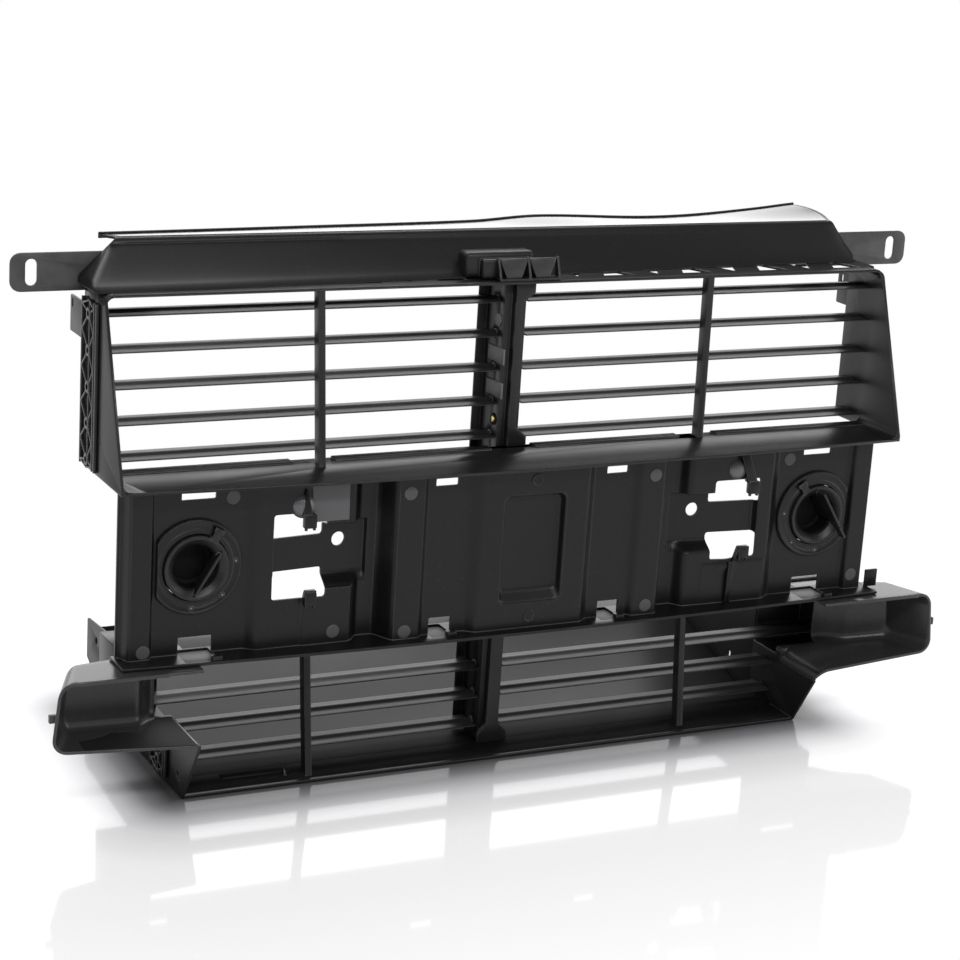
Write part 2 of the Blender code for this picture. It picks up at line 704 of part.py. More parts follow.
def seal_strip():
    """A thin rubber lip on the rear edge of the flap, slightly wavy along its top."""
    half = DEFLECTOR_TOP_WIDTH / 2 - WALL
    base = DEFLECTOR_TOP - SEAL_HEIGHT / 2
    steps = 32
    top = []
    for step in range(steps + 1):
        share = step / steps
        wave = SEAL_WAVE * math.sin(share * 3.5 * math.pi)
        top.append((half - 2 * half * share, base + SEAL_HEIGHT * 0.8 + wave))
    outline = [(-half, base), (half, base)] + top
    rear = DEFLECTOR_Y + DEFLECTOR_FLAP + SEAT_GAP
    strip = prism("seal_strip", [outline], "Y", rear, rear + SEAL_THICKNESS)
    return finish(strip, SEAL_BLACK, 0.6)


def screw_spots(side):
    """X of the two screws that hold a strap."""
    root = OVERALL_WIDTH / 2 - STRAP_LENGTH + SCREW_FROM_ROOT
    return [side * root, side * (root + SCREW_SPACING)]


def mount_strap(name, side):
    """A flat strap with a round end and an upright slot, behind the deflector's end."""
    inner = OVERALL_WIDTH / 2 - STRAP_LENGTH
    outer = OVERALL_WIDTH / 2
    half = STRAP_HEIGHT / 2
    tip = outer - STRAP_CORNER
    outline = [(inner, STRAP_Z - half)]
    outline += arc((tip, STRAP_Z - half + STRAP_CORNER), STRAP_CORNER, -90, 0, 5)
    outline += arc((tip, STRAP_Z + half - STRAP_CORNER), STRAP_CORNER, 0, 90, 5)
    outline.append((inner, STRAP_Z + half))
    slot = rounded((outer - SLOT_FROM_TIP, STRAP_Z), (SLOT_WIDTH, SLOT_HEIGHT), SLOT_WIDTH / 2 * 0.98, 5)
    strap = prism(name, [sided(outline, side), sided(slot, side)], "Y", STRAP_Y, STRAP_Y + STRAP_THICKNESS)
    holes = [rod(f"{name}_hole_{index}", "Y", (spot, STRAP_Z), SCREW_RADIUS + SCREW_CLEARANCE,
                 STRAP_Y - WALL, STRAP_Y + WALL, 16) for index, spot in enumerate(screw_spots(side))]
    cut(strap, holes)
    return finish(strap, STRAP_GREY, 0.5)


def strap_screw(name, spot):
    """A pan head screw, put in from behind."""
    seat = STRAP_Y + STRAP_THICKNESS + SEAT_GAP
    screw = rod(name, "Y", (spot, STRAP_Z), SCREW_HEAD_RADIUS, seat, seat + SCREW_HEAD_HEIGHT, 16)
    shank = rod(name + "_shank", "Y", (spot, STRAP_Z), SCREW_RADIUS, DEFLECTOR_Y + WALL / 2,
                seat + SCREW_HEAD_HEIGHT / 2, 12)
    join(screw, [shank])
    return finish(screw, STEEL, 0.35, 1.0)


def panel_path():
    """The middle panel's face seen from above, from its left edge to its right edge."""
    bands = [(CENTER_BAND_X, CENTER_STEP, CENTER_LEVEL, SIDE_LEVEL),
             (SIDE_BAND_X, SIDE_STEP, SIDE_LEVEL, RIB_LEVEL),
             (RIB_BAND_X, RIB_STEP, RIB_LEVEL, GROOVE_LEVEL),
             (GROOVE_BAND_X, GROOVE_STEP, GROOVE_LEVEL, WINDOW_LEVEL),
             (WINDOW_BAND_X, WINDOW_STEP, WINDOW_LEVEL, DIAL_LEVEL),
             (DIAL_BAND_X, DIAL_STEP, DIAL_LEVEL, EDGE_LEVEL)]
    right = []
    for across, run, before, after in bands:
        right += [(across - run / 2, before), (across + run / 2, after)]
    right += [(EDGE_BAND_X, EDGE_LEVEL), (PANEL_WIDTH / 2, RETURN_LEVEL)]
    return mirrored(right) + right


def hook_clip(name, middle, root, sign):
    """A hooked arm that stands off the panel beside a window; sign says which way it points."""
    face = WINDOW_LEVEL + PANEL_SHEET / 2
    tip = root + sign * CLIP_HEIGHT
    ahead = WINDOW_LEVEL - CLIP_REACH
    arm = [(face, root), (ahead, root), (ahead, tip), (ahead + WALL, tip),
           (ahead + WALL, root + sign * 2 * WALL), (face, root + sign * 2 * WALL)]
    return prism(name, [arm], "X", middle - CLIP_WIDTH / 2, middle + CLIP_WIDTH / 2)


def mid_panel(name, low_end, high_end):
    """A corrugated panel with a bowed flange, windows, slots, hooks, a recess and two cap openings.

    It comes in three parts that meet at seams in the grooves, and the two ends say which part is kept.
    """
    panel = prism(name, [ribbon(panel_path(), PANEL_SHEET)], "Z", PANEL_BOTTOM, PANEL_TOP)
    flange = bowed_plate(PANEL_WIDTH / 2 + WALL, FLANGE_REACH, FLANGE_BOW, FLANGE_REAR)
    recess_z = (PANEL_BOTTOM + PANEL_TOP) / 2
    recess_y = CENTER_LEVEL + RECESS_DEPTH
    bath = rounded((0.0, recess_z), (RECESS_WIDTH + 2 * WALL, RECESS_HEIGHT + 2 * WALL), WALL * 2)
    hollow = rounded((0.0, recess_z), (RECESS_WIDTH, RECESS_HEIGHT), WALL)
    extra = [prism("flange_body", [flange], "Z", PANEL_BOTTOM, PANEL_BOTTOM + FLANGE_EDGE),
             prism("recess_body", [bath], "Y", CENTER_LEVEL + PANEL_SHEET / 2, recess_y + WALL)]
    cutters = [prism("recess_cut", [hollow], "Y", CENTER_LEVEL - WALL, recess_y)]
    behind = SHELF_REAR_Y
    ahead = -FRONT_REACH - WALL
    dish_low = GROOVE_BAND_X - GROOVE_STEP
    dish_high = WINDOW_BAND_X - WINDOW_STEP
    for hand, side in SIDES:
        middle = side * (dish_low + dish_high) / 2
        size = (dish_high - dish_low, WINDOW_STRAP_HEIGHT)
        dish = rounded((middle, WINDOW_Z), (size[0] + 2 * WALL, size[1] + 2 * WALL), WALL * 2)
        inner = rounded((middle, WINDOW_Z), size, WALL)
        extra.append(prism(hand + "_dish_body", [dish], "Y", WINDOW_LEVEL + PANEL_SHEET / 2,
                           GROOVE_LEVEL + WALL))
        cutters.append(prism(hand + "_dish_cut", [inner], "Y", WINDOW_LEVEL - WALL, GROOVE_LEVEL))
        for level, sign in (("upper", 1), ("lower", -1)):
            center = (side * WINDOW_X, WINDOW_Z + sign * (WINDOW_STRAP + WINDOW_HEIGHT) / 2)
            hole = rounded(center, (WINDOW_WIDTH, WINDOW_HEIGHT), WALL)
            cutters.append(prism(f"{hand}_{level}_window_cut", [hole], "Y", ahead, behind))
        cutters.append(rod(hand + "_round_cut", "Y", (side * PANEL_HOLE_X, WINDOW_Z + PANEL_HOLE_RISE),
                           PANEL_HOLE_RADIUS, ahead, behind, 24))
        cutters.append(rod(hand + "_cap_cut", "Y", (side * DIAL_X, DIAL_Z), DIAL_RADIUS + DIAL_RUN_GAP,
                           ahead, behind, 40))
        for slot, spot, width in (("outer", OUTER_SLOT_X, OUTER_SLOT_WIDTH),
                                  ("inner", INNER_SLOT_X, INNER_SLOT_WIDTH)):
            low, high = span(side, spot - width / 2, spot + width / 2)
            top = PANEL_TOP - TOP_SLOT_DROP
            cutters.append(box(f"{hand}_{slot}_top_cut", (low, ahead, top - TOP_SLOT_HEIGHT),
                               (high, behind, top)))
            cutters.append(box(f"{hand}_{slot}_bottom_cut", (low, -FLANGE_REACH, PANEL_BOTTOM - WALL),
                               (high, FLANGE_REAR - WALL, PANEL_BOTTOM + BOTTOM_SLOT_HEIGHT)))
    join(panel, extra)
    cut(panel, cutters)
    window_edge = WINDOW_STRAP / 2 + WINDOW_HEIGHT
    hooks = []
    for hand, middle in (("left", CLIP_LEFT_X), ("right", CLIP_RIGHT_X)):
        hooks.append(hook_clip(hand + "_upper_hook", middle, WINDOW_Z + window_edge + 4 * WALL, -1))
        hooks.append(hook_clip(hand + "_lower_hook", middle, WINDOW_Z - window_edge - 4 * WALL, 1))
    join(panel, hooks)
    cut(panel, [box(name + "_low_end_cut", (-PANEL_WIDTH, ahead, PANEL_BOTTOM - WALL),
                    (low_end, behind, PANEL_TOP + WALL)),
                box(name + "_high_end_cut", (high_end, ahead, PANEL_BOTTOM - WALL),
                    (PANEL_WIDTH, behind, PANEL_TOP + WALL))])
    return finish(panel, BLACK_MOULDING, 0.5)


def cap_ring(name, side):
    """A flat ring round a twist cap, on the face of the panel."""
    face = DIAL_LEVEL - SEAT_GAP
    center = (side * DIAL_X, DIAL_Z)
    outer = arc(center, RING_RADIUS, 0, 351, 39)
    inner = arc(center, DIAL_RADIUS + DIAL_RUN_GAP, 0, 351, 39)
    limit = side * (DIAL_BAND_X - DIAL_STEP)
    outer = [(min(x, limit) if side > 0 else max(x, limit), z) for x, z in outer]
    ring = prism(name, [outer, inner], "Y", face - RING_THICKNESS, face)
    return finish(ring, BLACK_MOULDING, 0.45)


def twist_cap(name, side):
    """A cup with a fin across its mouth, turned from in front."""
    center = (side * DIAL_X, DIAL_Z)
    front = DIAL_LEVEL - SEAT_GAP - RING_THICKNESS - DIAL_PROUD
    rear = front + DIAL_DEPTH
    cup = rod(name, "Y", center, DIAL_RADIUS, front, rear, 40)
    cut(cup, [rod(name + "_bore_cut", "Y", center, DIAL_BORE_RADIUS, front - WALL, rear - DIAL_FLOOR, 32)])
    half = math.sqrt(DIAL_BORE_RADIUS ** 2 - FIN_OFFSET ** 2) + FIN_THICKNESS
    turn = math.radians(DIAL_REST_DEG)
    along = Vector((math.cos(turn), math.sin(turn)))
    away = Vector((-along.y, along.x))
    corners = []
    for reach, offset in ((-half, FIN_OFFSET), (half, FIN_OFFSET), (half, FIN_OFFSET + FIN_THICKNESS),
                          (-half, FIN_OFFSET + FIN_THICKNESS)):
        spot = along * reach - away * offset
        corners.append((center[0] + spot.x, center[1] - side * spot.y))
    fin = prism(name + "_fin", [corners], "Y", front - FIN_PROUD, rear - DIAL_FLOOR / 2)
    join(cup, [fin])
    set_origin(cup, (center[0], rear, center[1]))
    return finish(cup, BLACK_MOULDING, 0.4)


def lower_frame():
    """Lip, walls, side ledges for the wide row, a top rail and two mullions in one moulding."""
    frame = box("lower_frame", (-LOWER_HALF, LIP_SETBACK, 0.0), (LOWER_HALF, SHELF_REAR_Y, WALL))
    wall = [(LIP_SETBACK, 0.0), (FRAME_REAR_Y, 0.0), (FRAME_REAR_Y, LEDGE_TOP), (SHELF_REAR_Y, LEDGE_TOP),
            (SHELF_REAR_Y, SCOOP_FLOOR_Z - WALL - SEAT_GAP), (-SCOOP_REACH, SCOOP_FLOOR_Z - WALL - SEAT_GAP)]
    behind = SHELF_REAR_Y + SEAT_GAP
    extra = [box("lower_rail_body", (-LOWER_HALF + WALL, LOWER_RAIL_SETBACK, LOWER_TOP - WALL),
                 (LOWER_HALF - WALL, FRAME_REAR_Y, LOWER_TOP)),
             box("wide_rail_body", (-WIDE_HALF, behind, LOWER_TOP - WALL),
                 (WIDE_HALF, FRAME_REAR_Y, LOWER_TOP))]
    notch = COLUMN_PLATE_WIDTH / 2 + SEAT_GAP
    cutters = [box("drive_notch_cut", (-notch, COLUMN_FRONT_Y - SEAT_GAP, LOWER_TOP - 2 * WALL),
                   (notch, FRAME_REAR_Y + WALL, LOWER_TOP + WALL))]
    for name, side in SIDES:
        low, high = span(side, LOWER_HALF - WALL, LOWER_HALF)
        extra.append(prism(name + "_lower_wall", [wall], "X", low, high))
        low, high = span(side, LOWER_HALF - WALL, WIDE_HALF)
        extra.append(box(name + "_ledge", (low, behind, LEDGE_TOP - WALL), (high, FRAME_REAR_Y, LEDGE_TOP)))
        low, high = span(side, WIDE_HALF - WALL, WIDE_HALF)
        extra.append(box(name + "_end_cheek", (low, behind, LEDGE_TOP - WALL),
                         (high, FRAME_REAR_Y, LOWER_TOP)))
        low, high = span(side, MULLION_X - MULLION_WIDTH / 2, MULLION_X + MULLION_WIDTH / 2)
        extra.append(box(name + "_lower_mullion", (low, MULLION_FRONT_Y, WALL / 2),
                         (high, MULLION_REAR_Y, LOWER_TOP - WALL / 2)))
        for row, height in enumerate(LOWER_AXES):
            reach = row_half(row) + WALL
            low, high = span(side, reach - 3 * WALL, reach + WALL)
            cutters.append(rod(f"{name}_lower_pivot_cut_{row}", "X", (VANE_AXIS_Y, height),
                               PIVOT_RADIUS + PIVOT_CLEARANCE, low, high))
    join(frame, extra)
    cut(frame, cutters)
    return finish(frame, BLACK_MOULDING, 0.42)


def row_half(row):
    """Half the clear width of a lower row: the top row is the wide one."""
    return (WIDE_HALF if row == LOWER_ROWS - 1 else LOWER_HALF) - WALL


def scoop_plan(inset):
    """A scoop's body seen from above, right side, drawn in by an inset from its back and end."""
    inner = LOWER_HALF + SEAT_GAP
    end = SCOOP_HALF - inset
    back = SHELF_REAR_Y
    knee = -SCOOP_REACH + SCOOP_END_DEPTH
    turn = WIDE_HALF - inset
    bend = []
    for step in range(9):
        share = step / 8
        across = end + (turn - end) * share
        ease = share * share * (3 - 2 * share)
        bend.append((across, knee - inset + (back - knee) * ease))
    if inset:
        return [(inner - WALL * 4, -SCOOP_REACH - WALL), (end, -SCOOP_REACH - WALL)] + bend + [
            (turn, back + WALL), (inner - WALL * 4, back + WALL)]
    return [(inner, -SCOOP_REACH), (end, -SCOOP_REACH)] + bend + [(inner, back)]


def scoop_front(inset):
    """A scoop seen from the front, right side, with a sloping floor."""
    inner = LOWER_HALF + SEAT_GAP
    slope = SCOOP_RISE / SCOOP_WIDTH
    floor = SCOOP_FLOOR_Z - (0.0 if inset else WALL)
    end = SCOOP_HALF - inset
    top = LOWER_TOP - inset
    start = inner - (WALL * 5 if inset else 0.0)
    chamfer = SCOOP_CHAMFER - inset / 2
    return [(start, floor + (start - inner) * slope), (end, floor + (end - inner) * slope),
            (end, top - chamfer), (end - chamfer, top), (start, top)]


def scoop(name, side):
    """An open fronted pocket that leads air sideways into the lower shutter."""
    deep = (-SCOOP_REACH - WALL * 3, SHELF_REAR_Y + WALL * 3)
    body = prism(name, [sided(scoop_plan(0.0), side)], "Z", SCOOP_FLOOR_Z - WALL * 4, LOWER_TOP + WALL)
    block = prism(name + "_front_shape", [sided(scoop_front(0.0), side)], "Y", *deep)
    combine(body, [block], "INTERSECT")
    pocket = prism(name + "_pocket_cut", [sided(scoop_plan(WALL), side)], "Z",
                   SCOOP_FLOOR_Z - WALL * 4, LOWER_TOP + WALL)
    hollow = prism(name + "_hollow_shape", [sided(scoop_front(WALL), side)], "Y", *deep)
    combine(pocket, [hollow], "INTERSECT")
    cut(body, [pocket])
    return finish(body, BLACK_MOULDING, 0.36)


def duct_side(name, side):
    """A flat plate that carries the lower wall on to the rear."""
    outline = [(DUCT_Y, 0.0), (DUCT_REAR_Y - 2 * DUCT_TAIL_RISE, 0.0), (DUCT_REAR_Y, DUCT_TAIL_RISE),
               (DUCT_REAR_Y, DUCT_REAR_HEIGHT), (DUCT_Y, DUCT_SIDE_HEIGHT)]
    hole_line = DUCT_REAR_HEIGHT - DUCT_HOLE_DROP
    hole_y = DUCT_REAR_Y - DUCT_HOLE_FROM_REAR
    slot_spot = (DUCT_Y + DUCT_SLOT_SETBACK, DUCT_SLOT_RISE)
    holes = [rounded(slot_spot, (DUCT_SLOT_WIDTH, DUCT_SLOT_HEIGHT), DUCT_SLOT_WIDTH / 2 * 0.98),
             arc((hole_y, hole_line), DUCT_HOLE_RADIUS, 0, 330, 11),
             arc((hole_y - DUCT_HOLE_SPACING, hole_line), DUCT_HOLE_RADIUS, 0, 330, 11)]
    low, high = span(side, LOWER_HALF - WALL, LOWER_HALF)
    plate = prism(name, [outline] + holes, "X", low, high)
    return finish(plate, BLACK_MOULDING, 0.45)


def duct_tray():
    """The sloping floor between the two duct sides."""
    half = LOWER_HALF - WALL - SEAT_GAP
    rear = DUCT_REAR_Y - TRAY_REAR_GAP
    path = [(DUCT_Y, 0.0), (DUCT_Y + TRAY_FLAT, 0.0), (rear, TRAY_RISE), (rear + WALL, TRAY_RISE + TRAY_LIP)]
    tray = prism("duct_tray", [ribbon(path, TRAY_SHEET)], "X", -half, half)
    return finish(tray, BLACK_MOULDING, 0.3)


def bearing_strip(name, side, face, axes, low, high):
    """A ribbed strip on the outside of a wall: rails, crossed bars and a pivot boss for each vane."""
    front = VANE_AXIS_Y - STRIP_WIDTH / 2
    rear = VANE_AXIS_Y + STRIP_WIDTH / 2
    inner = face + SEAT_GAP
    outer = inner + STRIP_BASE + STRIP_RIB
    x_low, x_high = span(side, inner, inner + STRIP_BASE)
    strip = box(name, (x_low, front, low), (x_high, rear, high))
    rib_low, rib_high = span(side, inner + STRIP_BASE / 2, outer)
    extra = []
    for edge, start in (("front", front), ("rear", rear - STRIP_BAR)):
        extra.append(box(f"{name}_{edge}_rail", (rib_low, start, low), (rib_high, start + STRIP_BAR, high)))
    ends = [low + STRIP_BAR] + list(axes) + [high - STRIP_BAR]
    for cell, (bottom, top) in enumerate(zip(ends[:-1], ends[1:])):
        if top - bottom < 2 * BOSS_RADIUS:
            continue
        for lean, (near, far) in (("a", (front, rear)), ("b", (rear, front))):
            inset = STRIP_BAR / 2 if near < far else -STRIP_BAR / 2
            bar = ribbon([(near + inset, bottom), (far - inset, top)], STRIP_BAR)
            extra.append(prism(f"{name}_bar_{cell}{lean}", [bar], "X", rib_low, rib_high))
    for row, height in enumerate(axes):
        extra.append(rod(f"{name}_boss_{row}", "X", (VANE_AXIS_Y, height), BOSS_RADIUS, rib_low, rib_high))
    holes = []
    for row, height in enumerate(axes):
        x_low, x_high = span(side, inner - WALL, outer + WALL)
        holes.append(rod(f"{name}_bore_{row}", "X", (VANE_AXIS_Y, height), PIVOT_RADIUS + PIVOT_CLEARANCE,
                         x_low, x_high))
    join(strip, extra)
    cut(strip, holes)
    return finish(strip, BLACK_MOULDING, 0.45)


def side_bracket(name, side):
    """A small plate with two holes on the rear edge of the upper wall."""
    low = RAIL_TOP - BRACKET_DROP - BRACKET_HEIGHT
    high = RAIL_TOP - BRACKET_DROP
    front = VANE_AXIS_Y + STRIP_WIDTH / 2 + SEAT_GAP
    rear = front + BRACKET_LENGTH
    outline = [(front, low + WALL), (rear, low), (rear, high), (front, high)]
    middle = (front + rear) / 2 + WALL
    holes = [arc((middle, high - BRACKET_HOLE_INSET), BRACKET_HOLE_RADIUS, 0, 330, 11),
             arc((middle, low + BRACKET_HOLE_INSET), BRACKET_HOLE_RADIUS, 0, 330, 11)]
    x_low, x_high = span(side, UPPER_HALF + SEAT_GAP, UPPER_HALF + SEAT_GAP + BRACKET_SHEET)
    plate = prism(name, [outline] + holes, "X", x_low, x_high)
    return finish(plate, STRAP_GREY, 0.5)


def latch_box():
    """A closed box on the top rail, in front of the deflector, with softened edges."""
    base = RAIL_TOP + SEAT_GAP
    front = MULLION_FRONT_Y + GUSSET_DEPTH + SEAT_GAP
    lump = box("latch_box", (BOX_X - BOX_WIDTH / 2, front, base),
               (BOX_X + BOX_WIDTH / 2, front + BOX_DEPTH, base + BOX_HEIGHT))
    soften = lump.modifiers.new("soft_edges", "BEVEL")
    soften.width = BOX_ROUND
    soften.segments = 2
    return finish(lump, BLACK_MOULDING, 0.35)


def gusset_bracket():
    """Two open pockets between three upright webs with leaning front edges."""
    base = RAIL_TOP + SEAT_GAP
    top = base + GUSSET_HEIGHT
    front = MULLION_FRONT_Y
    rear = front + GUSSET_DEPTH
    low = GUSSET_X - GUSSET_WIDTH / 2
    web = [(front, base), (rear, base), (rear, top), (rear - WALL - SEAT_GAP, top),
           (front, base + WALL + SEAT_GAP)]
    bracket = prism("gusset_bracket", [web], "X", low, low + GUSSET_WIDTH)
    pocket = (GUSSET_WIDTH - 3 * WALL) / 2
    cutters = []
    for index in range(2):
        start = low + WALL + index * (pocket + WALL)
        cutters.append(box(f"gusset_pocket_{index}", (start, front - WALL, base + WALL),
                           (start + pocket, rear - WALL, top + WALL)))
    cut(bracket, cutters)
    return finish(bracket, BLACK_MOULDING, 0.35)


def actuator_housing():
    """The motor's casing on the right cheek of the drive, with a bore for its output pinion."""
    rear = COLUMN_REAR_Y - CHEEK - SEAT_GAP
    low = CHEEK_OUTER + SEAT_GAP
    case = box("actuator_housing", (low, rear - ACTUATOR_DEPTH, PINION_Z - ACTUATOR_HEIGHT / 2),
               (low + ACTUATOR_WIDTH, rear, PINION_Z + ACTUATOR_HEIGHT / 2))
    soften = case.modifiers.new("soft_edges", "BEVEL")
    soften.width = ACTUATOR_ROUND
    soften.segments = 2
    cut(case, [rod("actuator_bore_cut", "X", (VANE_AXIS_Y, PINION_Z), HUB_RADIUS + PIVOT_CLEARANCE,
                   low - WALL, low + SHAFT_REACH + SEAT_GAP, 24)])
    return finish(case, BLACK_MOULDING, 0.45)


def stop_pin(spot):
    """A brass pin in the left cheek of the drive, flush short of the vanes."""
    pin = rod("stop_pin", "X", spot, STOP_PIN_RADIUS, SEAT_GAP - VANE_INNER_X, -CHEEK_SPACE / 2, 16)
    return finish(pin, BRASS, 0.3, 1.0)


def build():
    """Make every piece."""
    pin_spot = (VANE_AXIS_Y - STOP_PIN_FORWARD, (UPPER_AXES[0] + UPPER_AXES[1]) / 2)
    upper_frame()
    drive_channel(pin_spot)
    top_deflector()
    seal_strip()
    seam_low, seam_high = PANEL_SEAM_X - SEAT_GAP / 2, PANEL_SEAM_X + SEAT_GAP / 2
    mid_panel("left_panel_wing", -PANEL_WIDTH + WALL, -seam_high)
    mid_panel("mid_panel", -seam_low, seam_low)
    mid_panel("right_panel_wing", seam_high, PANEL_WIDTH - WALL)
    lower_frame()
    duct_tray()
    latch_box()
    gusset_bracket()
    actuator_housing()
    stop_pin(pin_spot)
    drive_rack()
    hub = CHEEK_OUTER
    for row, height in enumerate(UPPER_AXES, 1):
        pinion(f"upper_pinion_{row}", height, (hub, hub), True)
    for row, height in enumerate(LOWER_AXES, 1):
        pinion(f"lower_pinion_{row}", height, (hub, hub), True)
    pinion("actuator_pinion", PINION_Z, (hub, hub + SHAFT_REACH), False)
    for name, side in SIDES:
        for row, height in enumerate(UPPER_AXES, 1):
            vane(f"upper_vane_{name}_{row}", side, VANE_INNER_X, UPPER_HALF - WALL - VANE_END_GAP,
                 height, UPPER_CHORD, STRIP_BASE + STRIP_RIB)
        for row, height in enumerate(LOWER_AXES, 1):
            pin_reach = 0.0 if row == LOWER_ROWS else STRIP_BASE + STRIP_RIB
            vane(f"lower_vane_{name}_{row}", side, VANE_INNER_X, row_half(row - 1) - VANE_END_GAP,
                 height, LOWER_CHORD, pin_reach)
        mount_strap(f"{name}_mount_strap", side)
        for index, spot in enumerate(screw_spots(side), 1):
            strap_screw(f"{name}_strap_screw_{index}", spot)
        scoop(f"{name}_scoop", side)
        duct_side(f"{name}_duct_side", side)
        side_bracket(f"{name}_side_bracket", side)
        cap_ring(f"{name}_cap_ring", side)
        twist_cap(f"{name}_twist_cap", side)
        bearing_strip(f"upper_{name}_bearing_strip", side, UPPER_HALF, UPPER_AXES,
                      SHELF_BOTTOM, RAIL_TOP)
        bearing_strip(f"lower_{name}_bearing_strip", side, LOWER_HALF, LOWER_AXES[:-1],
                      WALL, LEDGE_TOP - WALL - SEAT_GAP)


build()
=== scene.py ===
# %% [markdown]
# Grille shutter, looks
#
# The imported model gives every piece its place. This lesson dresses those pieces: the panel gets its soft
# corrugation, the vanes a smooth section, the hood its sagging flap, and each material gets grain, gloss
# and wear from nodes. The frame is loaded first and never moved, so that everything added here follows the
# joints.

# %% Load the frame
import json
import math

import bmesh
import bpy
from mathutils import Matrix, Vector

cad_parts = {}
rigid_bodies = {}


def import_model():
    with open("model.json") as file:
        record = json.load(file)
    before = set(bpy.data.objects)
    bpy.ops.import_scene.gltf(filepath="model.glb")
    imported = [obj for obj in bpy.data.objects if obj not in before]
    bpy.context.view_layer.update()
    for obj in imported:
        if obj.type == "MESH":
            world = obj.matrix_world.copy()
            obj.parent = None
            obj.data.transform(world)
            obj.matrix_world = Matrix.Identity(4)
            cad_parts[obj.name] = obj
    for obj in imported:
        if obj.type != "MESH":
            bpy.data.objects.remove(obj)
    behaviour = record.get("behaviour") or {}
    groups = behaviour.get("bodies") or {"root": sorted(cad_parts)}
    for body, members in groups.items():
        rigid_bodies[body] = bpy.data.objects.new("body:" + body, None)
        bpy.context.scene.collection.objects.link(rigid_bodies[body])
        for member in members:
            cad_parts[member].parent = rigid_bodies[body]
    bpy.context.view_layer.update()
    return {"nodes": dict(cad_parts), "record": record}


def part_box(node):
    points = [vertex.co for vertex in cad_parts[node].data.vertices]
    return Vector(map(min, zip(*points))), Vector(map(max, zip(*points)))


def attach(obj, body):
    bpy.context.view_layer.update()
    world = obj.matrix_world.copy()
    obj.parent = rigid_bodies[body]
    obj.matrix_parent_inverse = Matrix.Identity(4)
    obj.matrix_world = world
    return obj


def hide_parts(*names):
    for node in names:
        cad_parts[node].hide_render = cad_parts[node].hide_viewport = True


for leftover in list(bpy.data.objects):
    bpy.data.objects.remove(leftover, do_unlink=True)
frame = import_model()
nodes = frame["nodes"]
bodies = frame["record"]["behaviour"]["bodies"]
body_of = {node: body for body, members in bodies.items() for node in members}
slot_of = {row["node"]: row["material_slot"] for row in frame["record"]["subparts"]}

# %% [markdown]
# Camera
#
# The photograph was taken with a long lens, from the left and a little above, with the camera rolled
# slightly. A camera is easiest to set from its own axes: the way it looks, its right and its up. The
# measured place was taken from the panel's front plane, so that plane is found first from the shelf.

# %% Camera
PHOTO_PIXELS = 960
FOCAL_PIXELS = 2431
SENSOR_MM = 36.0
CAMERA_YAW = math.radians(27.18)
CAMERA_PITCH = math.radians(15.58)
CAMERA_ROLL = math.radians(3.65)
CAMERA_FROM_PANEL = Vector((-1.106, -2.051, 0.944))
SHELF_FRONT_REACH = 0.042

panel_plane = Vector((0.0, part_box("upper_frame")[0].y + SHELF_FRONT_REACH, 0.0))
look = Vector((math.sin(CAMERA_YAW) * math.cos(CAMERA_PITCH),
               math.cos(CAMERA_YAW) * math.cos(CAMERA_PITCH), -math.sin(CAMERA_PITCH)))
level_right = Vector((math.cos(CAMERA_YAW), -math.sin(CAMERA_YAW), 0.0))
level_up = level_right.cross(look)
right = math.cos(CAMERA_ROLL) * level_right + math.sin(CAMERA_ROLL) * level_up
up = -math.sin(CAMERA_ROLL) * level_right + math.cos(CAMERA_ROLL) * level_up
camera_data = bpy.data.cameras.new("photo_camera")
camera_data.sensor_width = SENSOR_MM
camera_data.lens = SENSOR_MM * FOCAL_PIXELS / PHOTO_PIXELS
camera = bpy.data.objects.new("photo_camera", camera_data)
bpy.context.scene.collection.objects.link(camera)
axes = Matrix((right, up, -look)).transposed().to_4x4()
camera.matrix_world = Matrix.Translation(CAMERA_FROM_PANEL + panel_plane) @ axes
bpy.context.scene.camera = camera
print("lens", round(camera_data.lens, 1), "mm")

# %% [markdown]
# Sums in node trees
#
# Node trees are long to write by hand. One small class stands for a node's output and turns Python sums
# into Math nodes, so that a material or a recipe for a shape reads like a formula.


# %% Sums in node trees
class Value:
    """One output of a node, ready for sums."""

    def __init__(self, bench, socket):
        self.bench = bench
        self.socket = socket

    def sum(self, operation, first, second=0.0):
        """A Math node of any kind."""
        return self.bench.node("ShaderNodeMath", {"operation": operation}, {0: first, 1: second})

    def __add__(self, other):
        return self.sum("ADD", self, other)

    __radd__ = __add__

    def __sub__(self, other):
        return self.sum("SUBTRACT", self, other)

    def __rsub__(self, other):
        return self.sum("SUBTRACT", other, self)

    def __mul__(self, other):
        return self.sum("MULTIPLY", self, other)

    __rmul__ = __mul__

    def __truediv__(self, other):
        return self.sum("DIVIDE", self, other)

    def __pow__(self, other):
        return self.sum("POWER", self, other)

    def of(self, operation):
        """A Math node that needs this value alone."""
        return self.sum(operation, self)

    def or_more(self, other):
        """The larger of two values."""
        return self.sum("MAXIMUM", self, other)


# %% [markdown]
# One method for every node
#
# A node is made, set, filled and read, which takes four lines each time. One method does all four for any
# kind of node. The shader trees and the Geometry Nodes trees share it.


